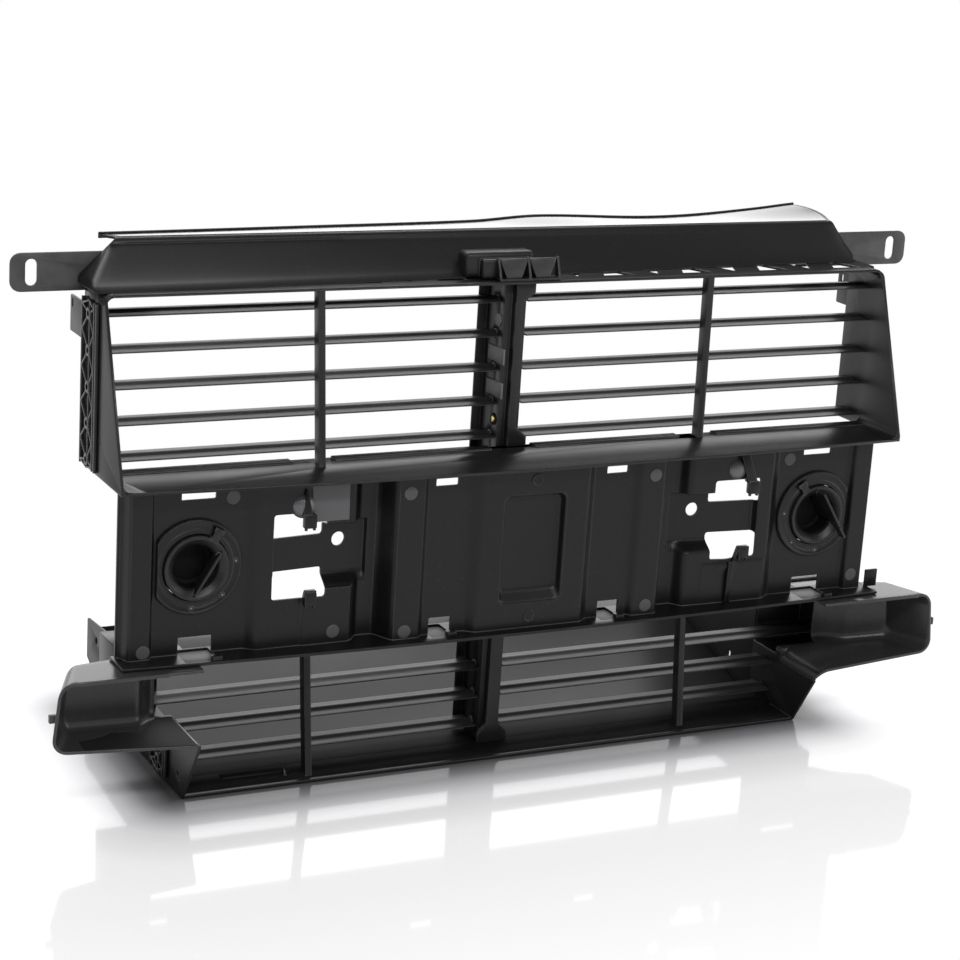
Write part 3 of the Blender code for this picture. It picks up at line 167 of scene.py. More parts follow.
# %% One method for every node
class Bench:
    """A node tree with one method that makes every node it needs."""

    def __init__(self, tree):
        self.tree = tree

    def node(self, kind, settings, sockets, output=0):
        """Make a node, fill its sockets and give back one of its outputs."""
        made = self.tree.nodes.new(kind)
        for key, setting in settings.items():
            setattr(made, key, setting)
        for key, given in sockets.items():
            for part in given if isinstance(given, list) else [given]:
                if isinstance(part, Value):
                    self.tree.links.new(part.socket, made.inputs[key])
                else:
                    made.inputs[key].default_value = part
        return Value(self, made.outputs[output]) if made.outputs else None

    def split(self, vector):
        """The three parts of a vector."""
        first = self.node("ShaderNodeSeparateXYZ", {}, {0: vector})
        return [Value(self, socket) for socket in first.socket.node.outputs]


# %% [markdown]
# A material under way
#
# Every finish is noise on the object's own coordinates, then ramps, tints and a bump, each with a short
# method. The Bevel node rounds corners in the light alone. Where its direction leaves the true one there is
# a corner, which can then be painted lighter, as wear and as a painted highlight, without drawing a mask by
# hand.

# %% A material under way
CORNER_TURN = (0.008, 0.16)


class Finish(Bench):
    """A material under way."""

    def __init__(self, name):
        self.material = bpy.data.materials.new(name)
        self.material.use_nodes = True
        self.material.node_tree.nodes.clear()
        super().__init__(self.material.node_tree)
        self.place = self.node("ShaderNodeTexCoord", {}, {}, "Object")

    def noise(self, scale, detail=2.0, stretch=(1.0, 1.0, 1.0)):
        spread = self.node("ShaderNodeMapping", {}, {"Vector": self.place, "Scale": stretch})
        return self.node("ShaderNodeTexNoise", {}, {"Vector": spread, "Scale": scale, "Detail": detail})

    def ramp(self, value, low, high):
        return self.node("ShaderNodeMapRange", {"clamp": True},
                         {"Value": value, "From Min": low, "From Max": high, "To Min": 0.0, "To Max": 1.0})

    def tint(self, factor, first, second):
        return self.node("ShaderNodeMix", {"data_type": "RGBA"}, {0: factor, 6: first, 7: second}, 2)

    def soft_normal(self, radius):
        """The surface's direction with every corner rounded off."""
        return self.node("ShaderNodeBevel", {"samples": 4}, {"Radius": radius})

    def corners(self, rounded):
        """Where a corner turns: the rounded direction leaves the true one."""
        true = self.node("ShaderNodeNewGeometry", {}, {}, "Normal")
        both = {0: rounded, 1: true}
        along = self.node("ShaderNodeVectorMath", {"operation": "DOT_PRODUCT"}, both, "Value")
        return self.ramp(1.0 - along, *CORNER_TURN)

    def bump(self, height, distance, strength, normal):
        return self.node("ShaderNodeBump", {}, {"Height": height, "Distance": distance, "Strength": strength,
                                                "Normal": normal})

    def done(self, sockets):
        """Join everything to one shader."""
        shader = self.node("ShaderNodeBsdfPrincipled", {}, sockets)
        self.node("ShaderNodeOutputMaterial", {}, {"Surface": shader})
        return self.material


# %% [markdown]
# Moulded plastic
#
# The black pieces are injection moulded and have a fine spark-eroded grain, a little flow variation in
# gloss, and corners painted slightly lighter, partly as wear and partly as a painted highlight. Grain could
# be geometry, but at a fraction of a millimetre it belongs in the bump. The finishes differ in a few
# numbers: tone, the lighter tone of corners and specks, roughness, specular and grain.

# %% Plastic finishes
GRAIN_PER_METRE = 1900.0
GRAIN_HEIGHT = 0.00012
GRAIN_GLOSS = 0.08
FLOW_PER_METRE = 9.0
FLOW_GLOSS = 0.14
SPECKS_PER_METRE = 260.0
SPECK_RANGE = (0.66, 0.78)
SPECK_SHARE = 0.06
WEAR_SHEEN_PER_METRE = 38.0
WEAR_SHEEN_RANGE = (0.30, 0.70)
WEAR_SHEEN_LEAST = 0.35
CORNER_RADIUS = 0.0014


def grey(level, alpha=1.0):
    """A neutral colour with the slightest cool cast."""
    return (level, level, level * 1.04, alpha)


def moulded_plastic(name, tone, worn_and_lit, roughness, specular, grain, stretch=(1.0, 1.0, 1.0)):
    """Grained plastic with cloudy gloss, and corners painted lighter as wear and as a painted highlight."""
    finish = Finish(name)
    grains = finish.noise(GRAIN_PER_METRE, 2.0, stretch)
    flow = finish.noise(FLOW_PER_METRE, 3.0, stretch)
    specks = finish.ramp(finish.noise(SPECKS_PER_METRE, 1.0), *SPECK_RANGE)
    rounded = finish.soft_normal(CORNER_RADIUS)
    # Corners painted lighter: partly wear, partly a painted highlight along the edges.
    wear_sheen_noise = finish.ramp(finish.noise(WEAR_SHEEN_PER_METRE, 3.0), *WEAR_SHEEN_RANGE)
    wear_and_sheen = finish.corners(rounded) * (WEAR_SHEEN_LEAST + wear_sheen_noise * (1.0 - WEAR_SHEEN_LEAST))
    colour = finish.tint(wear_and_sheen, grey(tone), grey(worn_and_lit))
    colour = finish.tint(specks * SPECK_SHARE, colour, grey(worn_and_lit))
    gloss = roughness + (flow - 0.5) * FLOW_GLOSS + (grains - 0.5) * GRAIN_GLOSS
    relief = finish.bump(grains, GRAIN_HEIGHT, grain, rounded)
    return finish.done({"Specular IOR Level": specular, "Base Color": colour, "Roughness": gloss,
                        "Normal": relief})


FRAME_BLACK = moulded_plastic("frame_black", 0.012, 0.130, 0.33, 0.36, 0.24)
HOOD_BLACK = moulded_plastic("hood_black", 0.008, 0.110, 0.36, 0.26, 0.20)
SKIN_BLACK = moulded_plastic("skin_black", 0.020, 0.100, 0.13, 0.80, 0.06)
PANEL_BLACK = moulded_plastic("panel_black", 0.007, 0.110, 0.32, 0.28, 0.26)
SCOOP_BLACK = moulded_plastic("scoop_black", 0.034, 0.150, 0.27, 0.46, 0.22)
VANE_BLACK = moulded_plastic("vane_black", 0.017, 0.110, 0.42, 0.32, 0.16, (0.08, 1.0, 1.0))
DUCT_BLACK = moulded_plastic("duct_black", 0.016, 0.080, 0.40, 0.32, 0.16)
SHADE_BLACK = moulded_plastic("shade_black", 0.006, 0.040, 0.62, 0.12, 0.30)
# Lighter copies of the moulding: painted light on the up-tilted pad, a painted highlight on the domes.
PAD_LIT_GREY = moulded_plastic("pad_grey", 0.085, 0.170, 0.36, 0.50, 0.24)
DOME_HIGHLIT_GREY = moulded_plastic("dome_grey", 0.110, 0.200, 0.24, 0.60, 0.16)
# A darker, duller copy that paints shade over a reflection on a scoop's floor.
SHADE_PATCH_BLACK = moulded_plastic("patch_black", 0.017, 0.050, 0.62, 0.14, 0.30)
# A pale grey that paints the light of a lit surface seen through the panel's slots.
SLOT_LIT_GREY = moulded_plastic("slot_grey", 0.130, 0.200, 0.55, 0.20, 0.30)
MARK_GREY = moulded_plastic("ejector_mark", 0.070, 0.130, 0.46, 0.40, 0.90)
DRIVE_GREY = moulded_plastic("drive_nylon", 0.14, 0.30, 0.50, 0.40, 0.45)
print("plastics ready")

# %% [markdown]
# Metal and rubber
#
# The straps and side brackets are dark coated steel with a faint mottle, the screws are bare steel, the
# stop pin is turned brass, and the seal is soft rubber with bloom on it. Their relief is finer than the
# plastic's.

# %% Metal and rubber finishes
FINE_HEIGHT = 0.0001


def coated_steel():
    """Dark coating with a soft mottle and thin corners painted bright as a highlight."""
    finish = Finish("strap_coating")
    mottle = finish.noise(70.0, 4.0)
    fine = finish.noise(1500.0, 1.0)
    rounded = finish.soft_normal(CORNER_RADIUS * 0.7)
    colour = finish.tint(finish.ramp(mottle, 0.35, 0.65), grey(0.052), grey(0.072))
    # The corners are painted bright: a painted highlight.
    colour = finish.tint(finish.corners(rounded) * 0.6, colour, grey(0.20))
    return finish.done({"Metallic": 0.25, "Specular IOR Level": 0.5, "Base Color": colour,
                        "Roughness": 0.42 + (mottle - 0.5) * 0.2,
                        "Normal": finish.bump(fine, FINE_HEIGHT, 0.15, rounded)})


def turned_metal(name, dark, bright, roughness, stretch):
    """Bare metal with tool marks drawn out one way."""
    finish = Finish(name)
    marks = finish.noise(900.0, 2.0, stretch)
    rounded = finish.soft_normal(CORNER_RADIUS * 0.5)
    return finish.done({"Metallic": 1.0, "Base Color": finish.tint(marks, dark, bright),
                        "Roughness": roughness + (marks - 0.5) * 0.2,
                        "Normal": finish.bump(marks, FINE_HEIGHT, 0.2, rounded)})


def soft_rubber():
    """Black rubber with a dry bloom."""
    finish = Finish("seal_rubber")
    bloom = finish.ramp(finish.noise(24.0, 4.0), 0.45, 0.75)
    fine = finish.noise(1300.0, 2.0)
    rounded = finish.soft_normal(CORNER_RADIUS * 0.7)
    return finish.done({"Specular IOR Level": 0.3,
                        "Base Color": finish.tint(bloom * 0.5, grey(0.008), grey(0.026)),
                        "Roughness": 0.62 + (fine - 0.5) * 0.15,
                        "Normal": finish.bump(fine, FINE_HEIGHT, 0.3, rounded)})


STRAP_STEEL = coated_steel()
SCREW_STEEL = turned_metal("screw_steel", grey(0.34), grey(0.52), 0.32, (1.0, 0.1, 1.0))
PIN_BRASS = turned_metal("pin_brass", (0.50, 0.33, 0.10, 1), (0.78, 0.58, 0.24, 1), 0.26, (0.1, 1.0, 1.0))
SEAL_RUBBER = soft_rubber()
SLOT_FINISH = {"black_moulding": FRAME_BLACK, "vane_plastic": VANE_BLACK, "drive_plastic": DRIVE_GREY,
               "seal_rubber": SEAL_RUBBER, "strap_metal": STRAP_STEEL, "screw_steel": SCREW_STEEL,
               "pin_brass": PIN_BRASS}
print("finishes", len(bpy.data.materials))

# %% [markdown]
# Shapes at the bench
#
# Most pieces start as a bmesh, the mesh that Python edits directly. Modifiers need an object, so a shape
# becomes one for as long as they run and then comes back.

# %% Shapes at the bench


def to_object(shape, name):
    """A bmesh as an object in the scene."""
    mesh = bpy.data.meshes.new(name)
    shape.to_mesh(mesh)
    shape.free()
    item = bpy.data.objects.new(name, mesh)
    bpy.context.scene.collection.objects.link(item)
    return item


def settled(item):
    """The shape an object has once its modifiers are run, as a bmesh; the object goes."""
    view = bpy.context.evaluated_depsgraph_get()
    view.update()
    mesh = bpy.data.meshes.new_from_object(item.evaluated_get(view))
    bpy.data.objects.remove(item, do_unlink=True)
    shape = bmesh.new()
    shape.from_mesh(mesh)
    bpy.data.meshes.remove(mesh)
    return shape


def shaped(shape, *steps):
    """Run modifiers on a bmesh."""
    item = to_object(shape, "working")
    for kind, settings in steps:
        step = item.modifiers.new(kind, kind)
        for key, setting in settings.items():
            setattr(step, key, setting)
    return settled(item)


# %% [markdown]
# Joining, cutting and softening
#
# Several shapes become one mesh without a Boolean where they may simply overlap. A true hole needs one, and
# the exact solver is slow but safe. Walls come from Solidify and soft edges from a bevel.

# %% Joining, cutting and softening


def joined(shapes):
    """Several shapes as one."""
    whole = bmesh.new()
    for shape in shapes:
        mesh = bpy.data.meshes.new("working")
        shape.to_mesh(mesh)
        shape.free()
        whole.from_mesh(mesh)
        bpy.data.meshes.remove(mesh)
    return whole


def cut_out(shape, cutters):
    """Take closed shapes out of another."""
    tool = to_object(joined(cutters), "cutter")
    result = shaped(shape, ("BOOLEAN", {"object": tool, "operation": "DIFFERENCE", "solver": "EXACT"}))
    bpy.data.objects.remove(tool, do_unlink=True)
    return result


def thick(shape, wall, rim=0.0):
    """Give an open sheet a wall behind its face, and soften the rim."""
    steps = [("SOLIDIFY", {"thickness": wall, "offset": -1.0})]
    if rim:
        steps.append(("BEVEL", {"width": rim, "segments": 2, "limit_method": "ANGLE",
                                "angle_limit": math.radians(50.0)}))
    return shaped(shape, *steps)


def sided(shape, side):
    """A shape drawn on the right, or its mirror image for the left."""
    if side < 0:
        bmesh.ops.scale(shape, vec=(-1.0, 1.0, 1.0), verts=shape.verts)
        bmesh.ops.reverse_faces(shape, faces=shape.faces)
    return shape


def soften(shape, edges, width, segments=2, clamp=True):
    """Round some edges of a shape."""
    bmesh.ops.bevel(shape, geom=edges, offset=width, offset_type="OFFSET", segments=segments, profile=0.5,
                    affect="EDGES", clamp_overlap=clamp)
    return shape


# %% [markdown]
# Boxes, bars and slabs
#
# The common starts are a rounded box, a bar that tapers between two rectangles and a flat outline with
# thickness. Outlines come from circles, quarter turns and rectangles with round corners, so that few lists
# of points have to be typed.

# %% Boxes, bars and slabs
AXIS_ORDER = {"X": lambda a, b, along: (along, a, b), "Y": lambda a, b, along: (a, along, b),
              "Z": lambda a, b, along: (a, b, along)}


def between(first, second, share):
    """A value part way from one to another."""
    return first + (second - first) * share


def quarter(steps):
    """Sine and cosine on the way through a quarter turn."""
    turns = [math.radians(90 * step / steps) for step in range(steps + 1)]
    return [(math.sin(turn), math.cos(turn)) for turn in turns]


def circle(center, radius, count):
    """Points round a circle."""
    turns = [math.radians(360 * step / count) for step in range(count)]
    return [(center[0] + radius * math.cos(turn), center[1] + radius * math.sin(turn)) for turn in turns]


def rounded_rectangle(center, size, radius, steps=6):
    """Points round a rectangle with round corners."""
    points = []
    for sign_a, sign_b, start in ((1, 1, 0), (-1, 1, 90), (-1, -1, 180), (1, -1, 270)):
        for step in range(steps + 1):
            angle = math.radians(start + 90 * step / steps)
            points.append((center[0] + sign_a * (size[0] / 2 - radius) + radius * math.cos(angle),
                           center[1] + sign_b * (size[1] / 2 - radius) + radius * math.sin(angle)))
    return points


def soft_box(low, high, radius=0.0008, segments=2):
    """A box with rounded edges."""
    shape = bmesh.new()
    bmesh.ops.create_cube(shape, size=1.0)
    size = Vector(high) - Vector(low)
    bmesh.ops.scale(shape, vec=size, verts=shape.verts)
    bmesh.ops.translate(shape, vec=(Vector(low) + Vector(high)) / 2, verts=shape.verts)
    return soften(shape, shape.edges[:], min(radius, min(size) * 0.45), segments)


def wedge(first, second, radius=0.0005):
    """A bar between two level rectangles, each given as low x, high x, front, rear and height."""
    shape = bmesh.new()
    bmesh.ops.create_cube(shape, size=1.0)
    for corner in shape.verts:
        low_x, high_x, front, rear, height = first if corner.co.z < 0 else second
        corner.co = (high_x if corner.co.x > 0 else low_x, rear if corner.co.y > 0 else front, height)
    bmesh.ops.recalc_face_normals(shape, faces=shape.faces)
    return soften(shape, shape.edges[:], radius)


def slab(outline, axis, low, high, rim=0.0):
    """A flat outline with thickness along an axis and softened rims."""
    shape = bmesh.new()
    rings = [[shape.verts.new(AXIS_ORDER[axis](a, b, along)) for a, b in outline] for along in (low, high)]
    for index in range(len(outline)):
        after = (index + 1) % len(outline)
        shape.faces.new((rings[0][index], rings[0][after], rings[1][after], rings[1][index]))
    caps = [shape.faces.new(ring) for ring in rings]
    bmesh.ops.recalc_face_normals(shape, faces=shape.faces)
    if rim:
        soften(shape, list({edge for cap in caps for edge in cap.edges}), rim)
    return shape


# %% [markdown]
# Turned shapes and sheets
#
# Round pieces are a profile turned about an axis. Limp or pressed ones are a surface through columns of
# points. Solidify would fold a wall at steep steps, so a pressed sheet gets its back by moving its face
# straight backwards.

# %% Turned shapes and sheets


def ease(share):
    """A soft step from 0 to 1."""
    share = min(max(share, 0.0), 1.0)
    return share * share * (3.0 - 2.0 * share)


def turned(profile, center, steps=72):
    """A profile of radius and depth pairs, turned round an axis that runs front to back."""
    shape = bmesh.new()
    rings = []
    for radius, depth in profile:
        count = steps if radius > 1e-6 else 1
        rings.append([shape.verts.new((center[0] + radius * math.cos(2 * math.pi * step / steps), depth,
                                       center[1] + radius * math.sin(2 * math.pi * step / steps)))
                      for step in range(count)])
    for first, second in zip(rings, rings[1:]):
        for step in range(steps):
            after = (step + 1) % steps
            loop = [first[step % len(first)], first[after % len(first)],
                    second[after % len(second)], second[step % len(second)]]
            shape.faces.new(list(dict.fromkeys(loop)))
    bmesh.ops.remove_doubles(shape, verts=shape.verts, dist=1e-6)
    bmesh.ops.recalc_face_normals(shape, faces=shape.faces)
    return shape


def sheet(columns):
    """A surface through columns of points, facing front when they run left to right and bottom to top."""
    shape = bmesh.new()
    grid = [[shape.verts.new(point) for point in column] for column in columns]
    for near, far in zip(grid, grid[1:]):
        for step in range(len(near) - 1):
            shape.faces.new((near[step], far[step], far[step + 1], near[step + 1]))
    return shape


def pressed(columns, wall):
    """A closed sheet whose back is its face moved straight backwards, so that steep steps never fold."""
    face = sheet(columns)
    rims = [edge for edge in face.edges if edge.is_boundary]
    moved = bmesh.ops.extrude_face_region(face, geom=face.faces[:] + rims)["geom"]
    corners = [part for part in moved if isinstance(part, bmesh.types.BMVert)]
    bmesh.ops.translate(face, vec=(0.0, -wall, 0.0), verts=corners)
    bmesh.ops.translate(face, vec=(0.0, wall, 0.0), verts=face.verts)
    bmesh.ops.recalc_face_normals(face, faces=face.faces)
    return face


# %% [markdown]
# Places and hand-over
#
# Depths are measured from the panel's front plane, because the photograph was measured that way. The last
# helper moves a piece to its true place, lets it ride on its body and says which solids it stands for.
# Shapes that touch overlap by a hair, and cutters overshoot what they cut.

# %% Places and hand-over
OVERLAP = 0.001
OVERSHOOT = 0.01
SIDES = (("left", -1), ("right", 1))


def box_of(node):
    """A solid's corners, with depth measured from the panel's front plane."""
    low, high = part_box(node)
    return low - panel_plane, high - panel_plane


def middle_of(node):
    """The middle of a solid's box."""
    low, high = box_of(node)
    return (low + high) / 2


def hand_over(name, shape, finish, stands_for=(), body="frame", crease=38.0):
    """Turn a shape into a finished piece on its body."""
    bmesh.ops.translate(shape, vec=panel_plane, verts=shape.verts)
    piece = to_object(shape, name)
    piece.data.materials.clear()
    piece.data.materials.append(finish)
    piece.data.shade_smooth()
    piece.data.set_sharp_from_angle(angle=math.radians(crease))
    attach(piece, body)
    if stands_for:
        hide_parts(*stands_for)
    return piece


print("bench ready")

# %% [markdown]
# Rounded copies of the solids
#
# A moulding has no knife edges: every corner has a radius near a millimetre, and that is what draws the
# thin bright lines along shelves and rails. Where a solid's shape is already right, a copy of it is welded,
# its flat faces are joined and its corners bevelled. Short edges stay sharp, because a bevel wider than an
# edge would fold over itself. Other solids are carried over as they are, with a finish that rounds their
# corners.

# %% Rounded copies
WELD = 0.00002
FLAT_TURN = math.radians(1.0)
CORNER_LEAST = math.radians(28.0)
ROUND_WIDTH = {"left_mount_strap": 0.0005, "right_mount_strap": 0.0005, "left_duct_side": 0.0006,
               "right_duct_side": 0.0006, "duct_tray": 0.0006, "drive_channel": 0.0006}
DUCT_NODES = ("duct_tray", "left_duct_side", "right_duct_side")
CHANNEL_RIB_REAR = 0.0475
CHANNEL_RIB_FOOT = 0.320
CHANNEL_RIB_HALF = 0.0040


def rounded_copy(node, width):
    """A copy of a solid with its long corners rounded."""
    shape = bmesh.new()
    shape.from_mesh(nodes[node].data)
    bmesh.ops.translate(shape, vec=-panel_plane, verts=shape.verts)
    bmesh.ops.remove_doubles(shape, verts=shape.verts, dist=WELD)
    bmesh.ops.dissolve_limit(shape, angle_limit=FLAT_TURN, verts=shape.verts, edges=shape.edges)
    corners = [edge for edge in shape.edges if edge.is_manifold and edge.calc_length() > 3 * width
               and edge.calc_face_angle() > CORNER_LEAST]
    return soften(shape, corners, width, clamp=False)


def straighten_channel(shape):
    """The drive channel flares to the right alone, above the shelf."""
    for corner in shape.verts:
        if corner.co.y < CHANNEL_RIB_REAR and corner.co.z > CHANNEL_RIB_FOOT:
            corner.co.x = max(corner.co.x, -CHANNEL_RIB_HALF)


for node, width in ROUND_WIDTH.items():
    copy = rounded_copy(node, width)
    if node == "drive_channel":
        straighten_channel(copy)
    finish = DUCT_BLACK if node in DUCT_NODES else SLOT_FINISH[slot_of[node]]
    hand_over(node + "_moulding", copy, finish, [node])
for node, solid in nodes.items():
    solid.data.materials.clear()
    solid.data.materials.append(SLOT_FINISH[slot_of[node]])
print("rounded", len(ROUND_WIDTH))

# %% [markdown]
# Upper frame
#
# The frame is one moulding: slanted cheeks, a bowed shelf and a trussed rail. The plain solid lacks its
# round top corners, the hollow fillets where the shelf meets the cheeks and the lean of its mullions. Each
# of these gets a short function. A mullion is slimmed and leaned by moving its corners, which is simpler
# than building it anew.

# %% Upper frame
FRAME_WALL = 0.003
MULLION_X = 0.216
MULLION_HALF = 0.0066
MULLION_SLIM = 0.64
MULLION_SPAN = (0.031, 0.0462)
UPPER_LEAN = {-1: 0.020, 1: 0.004}
CHEEK_FILLET = 0.007
TOP_CORNER = 0.010
TOP_CORNER_DEPTH = (0.033, 0.0515)
SHELF_ENDS_REACH = 0.027
SHELF_REAR = 0.0465

frame_low, frame_high = box_of("upper_frame")
shelf_top = frame_low.z + FRAME_WALL
inner_half = frame_high.x - FRAME_WALL


def lean_mullion(shape, x, low, high, reach):
    """Slim a mullion and bring its foot forward."""
    for corner in shape.verts:
        if abs(corner.co.x - x) < MULLION_HALF and MULLION_SPAN[0] < corner.co.y < MULLION_SPAN[1]:
            corner.co.x = x + (corner.co.x - x) * MULLION_SLIM
            corner.co.y -= reach * min(max((high - corner.co.z) / (high - low), 0.0), 1.0)


def hollow_fillet():
    """A concave strip in the corner between shelf and cheek, right side."""
    outline = [(inner_half + OVERLAP, shelf_top - OVERLAP), (inner_half - CHEEK_FILLET, shelf_top - OVERLAP)]
    outline += [(inner_half - CHEEK_FILLET + CHEEK_FILLET * sine,
                 shelf_top + CHEEK_FILLET - CHEEK_FILLET * cosine) for sine, cosine in quarter(8)]
    outline.append((inner_half + OVERLAP, shelf_top + CHEEK_FILLET))
    return slab(outline, "Y", -SHELF_ENDS_REACH + 0.002, SHELF_REAR)


def corner_arc(reach, start, end):
    """Points on an arc in the top corner of the right cheek."""
    middle = (frame_high.x - TOP_CORNER, frame_high.z - TOP_CORNER)
    turns = [math.radians(between(start, end, step / 10)) for step in range(11)]
    return [(middle[0] + reach * math.cos(turn), middle[1] + reach * math.sin(turn)) for turn in turns]


def corner_cutter():
    """What lies outside the round top corner, right side."""
    out, over = frame_high.x + OVERLAP, frame_high.z + OVERLAP
    block = [(frame_high.x - TOP_CORNER, over), (out, over), (out, frame_high.z - TOP_CORNER)]
    return slab(corner_arc(TOP_CORNER, 0, 90) + block, "Y", TOP_CORNER_DEPTH[0] - 0.02, TOP_CORNER_DEPTH[1])


def corner_wall():
    """The curved wall between rail and cheek, right side."""
    ring = corner_arc(TOP_CORNER, 0, 90) + corner_arc(TOP_CORNER - FRAME_WALL, 90, 0)
    return slab(ring, "Y", TOP_CORNER_DEPTH[0], TOP_CORNER_DEPTH[1] + 0.0004, 0.0007)


# %% [markdown]
# Upper frame, put together
#
# The corners and the notches at the mullion feet are cut while the copy is one closed solid. A raised sill
# along the back of the shelf and the fillets are joined to it afterwards. They overlap it by a hair, so they
# need no Boolean.

# %% Upper frame, put together
SILL_FRONT = 0.033
SILL_HEIGHT = 0.0018
NOTCH_START = 0.0085
NOTCH_HALF = 0.022
NOTCH_DEPTH = 0.010
CHANNEL_HALF = 0.024

notches = [sided(corner_cutter(), side) for side in (1, -1)]
for side in (-1, 1):
    for sign in (-1, 1):
        spots = (side * MULLION_X + sign * NOTCH_START, side * MULLION_X + sign * NOTCH_HALF)
        notches.append(soft_box((min(spots), SHELF_REAR - NOTCH_DEPTH, shelf_top - OVERSHOOT),
                                (max(spots), SHELF_REAR + OVERSHOOT, shelf_top + OVERSHOOT), 0.001))
upper_shape = cut_out(rounded_copy("upper_frame", 0.0008), notches)
for side, reach in UPPER_LEAN.items():
    lean_mullion(upper_shape, side * MULLION_X, shelf_top, frame_high.z - FRAME_WALL, reach)
sills = []
for low, high in ((-inner_half, -MULLION_X - NOTCH_HALF), (-MULLION_X + NOTCH_HALF, -CHANNEL_HALF),
                  (CHANNEL_HALF, MULLION_X - NOTCH_HALF), (MULLION_X + NOTCH_HALF, inner_half)):
    sills.append(soft_box((low, SILL_FRONT, shelf_top - OVERLAP),
                          (high, SHELF_REAR, shelf_top + SILL_HEIGHT), 0.0009))
fillets = [sided(strip(), side) for strip in (hollow_fillet, corner_wall) for side in (1, -1)]
hand_over("upper_frame_moulding", joined([upper_shape] + sills + fillets), FRAME_BLACK, ["upper_frame"])
print("upper frame shelf at", round(shelf_top, 4))

# %% [markdown]
# Lower frame
#
# The lower frame keeps its solid's shape. Its copy gets a square clip hole in the left wall, and the right
# wall loses a strip of its top, where the scoop's floor flows down to it. A small clip stands on the lip,
# and backs close the pockets beside the top row. The bed under the vanes and a mat on the lip are dark, dull
# sheets of painted shade; with a small pad on the lip they make a piece of their own.

# %% Lower frame
LOWER_HALF = 0.352
CLIP_HOLE = 0.008
CLIP_HOLE_SPOT = (0.016, 0.020)
FLOW_CUT_REAR = 0.0362
FLOW_CUT_Z = (0.0572, 0.0670)
LIP_CLIP = ((-0.240, -0.236, 0.020, 0.026, 0.003), (-0.2385, -0.2375, 0.024, 0.026, 0.010))
LIP_PAD = (0.070, 0.012)
LIP_PAD_X = -0.265
LIP_PAD_FRONT = 0.0305
LIP_PAD_Z = (0.0029, 0.0048)
LOWER_LEAN = {-1: 0.020, 1: 0.014}
BED_TOP = 0.0013
BED_SPAN = (0.0455, 0.0925)
MAT_FRONT = 0.0085
MAT_Z = (0.0028, 0.0033)
POCKET_BACK = (0.0892, 0.0915)
POCKET_FOOT = 0.0605

lower_low, lower_high = box_of("lower_frame")
hole_low, hole_high = [[spot + sign * CLIP_HOLE / 2 for spot in CLIP_HOLE_SPOT] for sign in (-1, 1)]
cutters = [soft_box((-LOWER_HALF - 0.003, *hole_low), (-LOWER_HALF + 0.006, *hole_high), 0.0005),
           soft_box((LOWER_HALF - 0.0045, lower_low.y - OVERSHOOT, FLOW_CUT_Z[0]),
                    (LOWER_HALF + OVERLAP, FLOW_CUT_REAR, FLOW_CUT_Z[1]), 0.0003)]
lower_shape = cut_out(rounded_copy("lower_frame", 0.0007), cutters)
for side, reach in LOWER_LEAN.items():
    lean_mullion(lower_shape, side * MULLION_X, FRAME_WALL, lower_high.z - FRAME_WALL, reach)
backs = []
for side in (-1, 1):
    across = sorted((side * (LOWER_HALF - 0.002), side * (lower_high.x - OVERLAP)))
    backs.append(soft_box((across[0], POCKET_BACK[0], POCKET_FOOT),
                          (across[1], POCKET_BACK[1], lower_high.z - OVERLAP), 0.0005))
lower_parts = [lower_shape, wedge(*LIP_CLIP)] + backs
hand_over("lower_frame_moulding", joined(lower_parts), FRAME_BLACK, ["lower_frame"])
# Bed and mat are dark sheets of painted shade.
bed = soft_box((-LOWER_HALF + OVERLAP, BED_SPAN[0], 0.0),
               (LOWER_HALF - OVERLAP, BED_SPAN[1], BED_TOP), 0.0003)
mat = soft_box((-LOWER_HALF + 0.004, MAT_FRONT, MAT_Z[0]),
               (LOWER_HALF - 0.004, BED_SPAN[0] + 0.0005, MAT_Z[1]), 0.0002)
pad = soft_box((LIP_PAD_X - LIP_PAD[0] / 2, LIP_PAD_FRONT, LIP_PAD_Z[0]),
               (LIP_PAD_X + LIP_PAD[0] / 2, LIP_PAD_FRONT + LIP_PAD[1], LIP_PAD_Z[1]), 0.0006)
hand_over("lip_painted_shade", joined([bed, mat, pad]), SHADE_BLACK)
print("lower frame", [round(v, 3) for v in lower_high - lower_low])

# %% [markdown]
# Recipes
#
# Where many pieces share one rule, the rule can be a Geometry Nodes tree and the sizes its inputs. The
# class below makes such a tree, and runs it with any set of sizes.


# %% Recipes
class Recipe(Bench):
    """A Geometry Nodes tree whose named inputs are its sizes."""

    def __init__(self, name, sizes):
        super().__init__(bpy.data.node_groups.new(name, "GeometryNodeTree"))
        interface = self.tree.interface
        interface.new_socket("Geometry", in_out="INPUT", socket_type="NodeSocketGeometry")
        self.keys = {}
        for size in sizes:
            socket = interface.new_socket(size, in_out="INPUT", socket_type="NodeSocketFloat")
            self.keys[size] = socket.identifier
        interface.new_socket("Geometry", in_out="OUTPUT", socket_type="NodeSocketGeometry")
        entry = self.tree.nodes.new("NodeGroupInput")
        self.base = Value(self, entry.outputs["Geometry"])
        self.size = {size: Value(self, entry.outputs[size]) for size in sizes}

    def close(self, geometry, finish):
        """End the tree with a finish on its geometry."""
        real = self.node("GeometryNodeRealizeInstances", {}, {"Geometry": geometry})
        dressed = self.node("GeometryNodeSetMaterial", {}, {"Geometry": real, "Material": finish})
        self.node("NodeGroupOutput", {}, {0: dressed})

    def make(self, name, sizes, base=None):
        """Run the tree with these sizes."""
        item = to_object(base or bmesh.new(), name)
        step = item.modifiers.new(name, "NODES")
        step.node_group = self.tree
        for size, number in sizes.items():
            step[self.keys[size]] = number
        return settled(item)


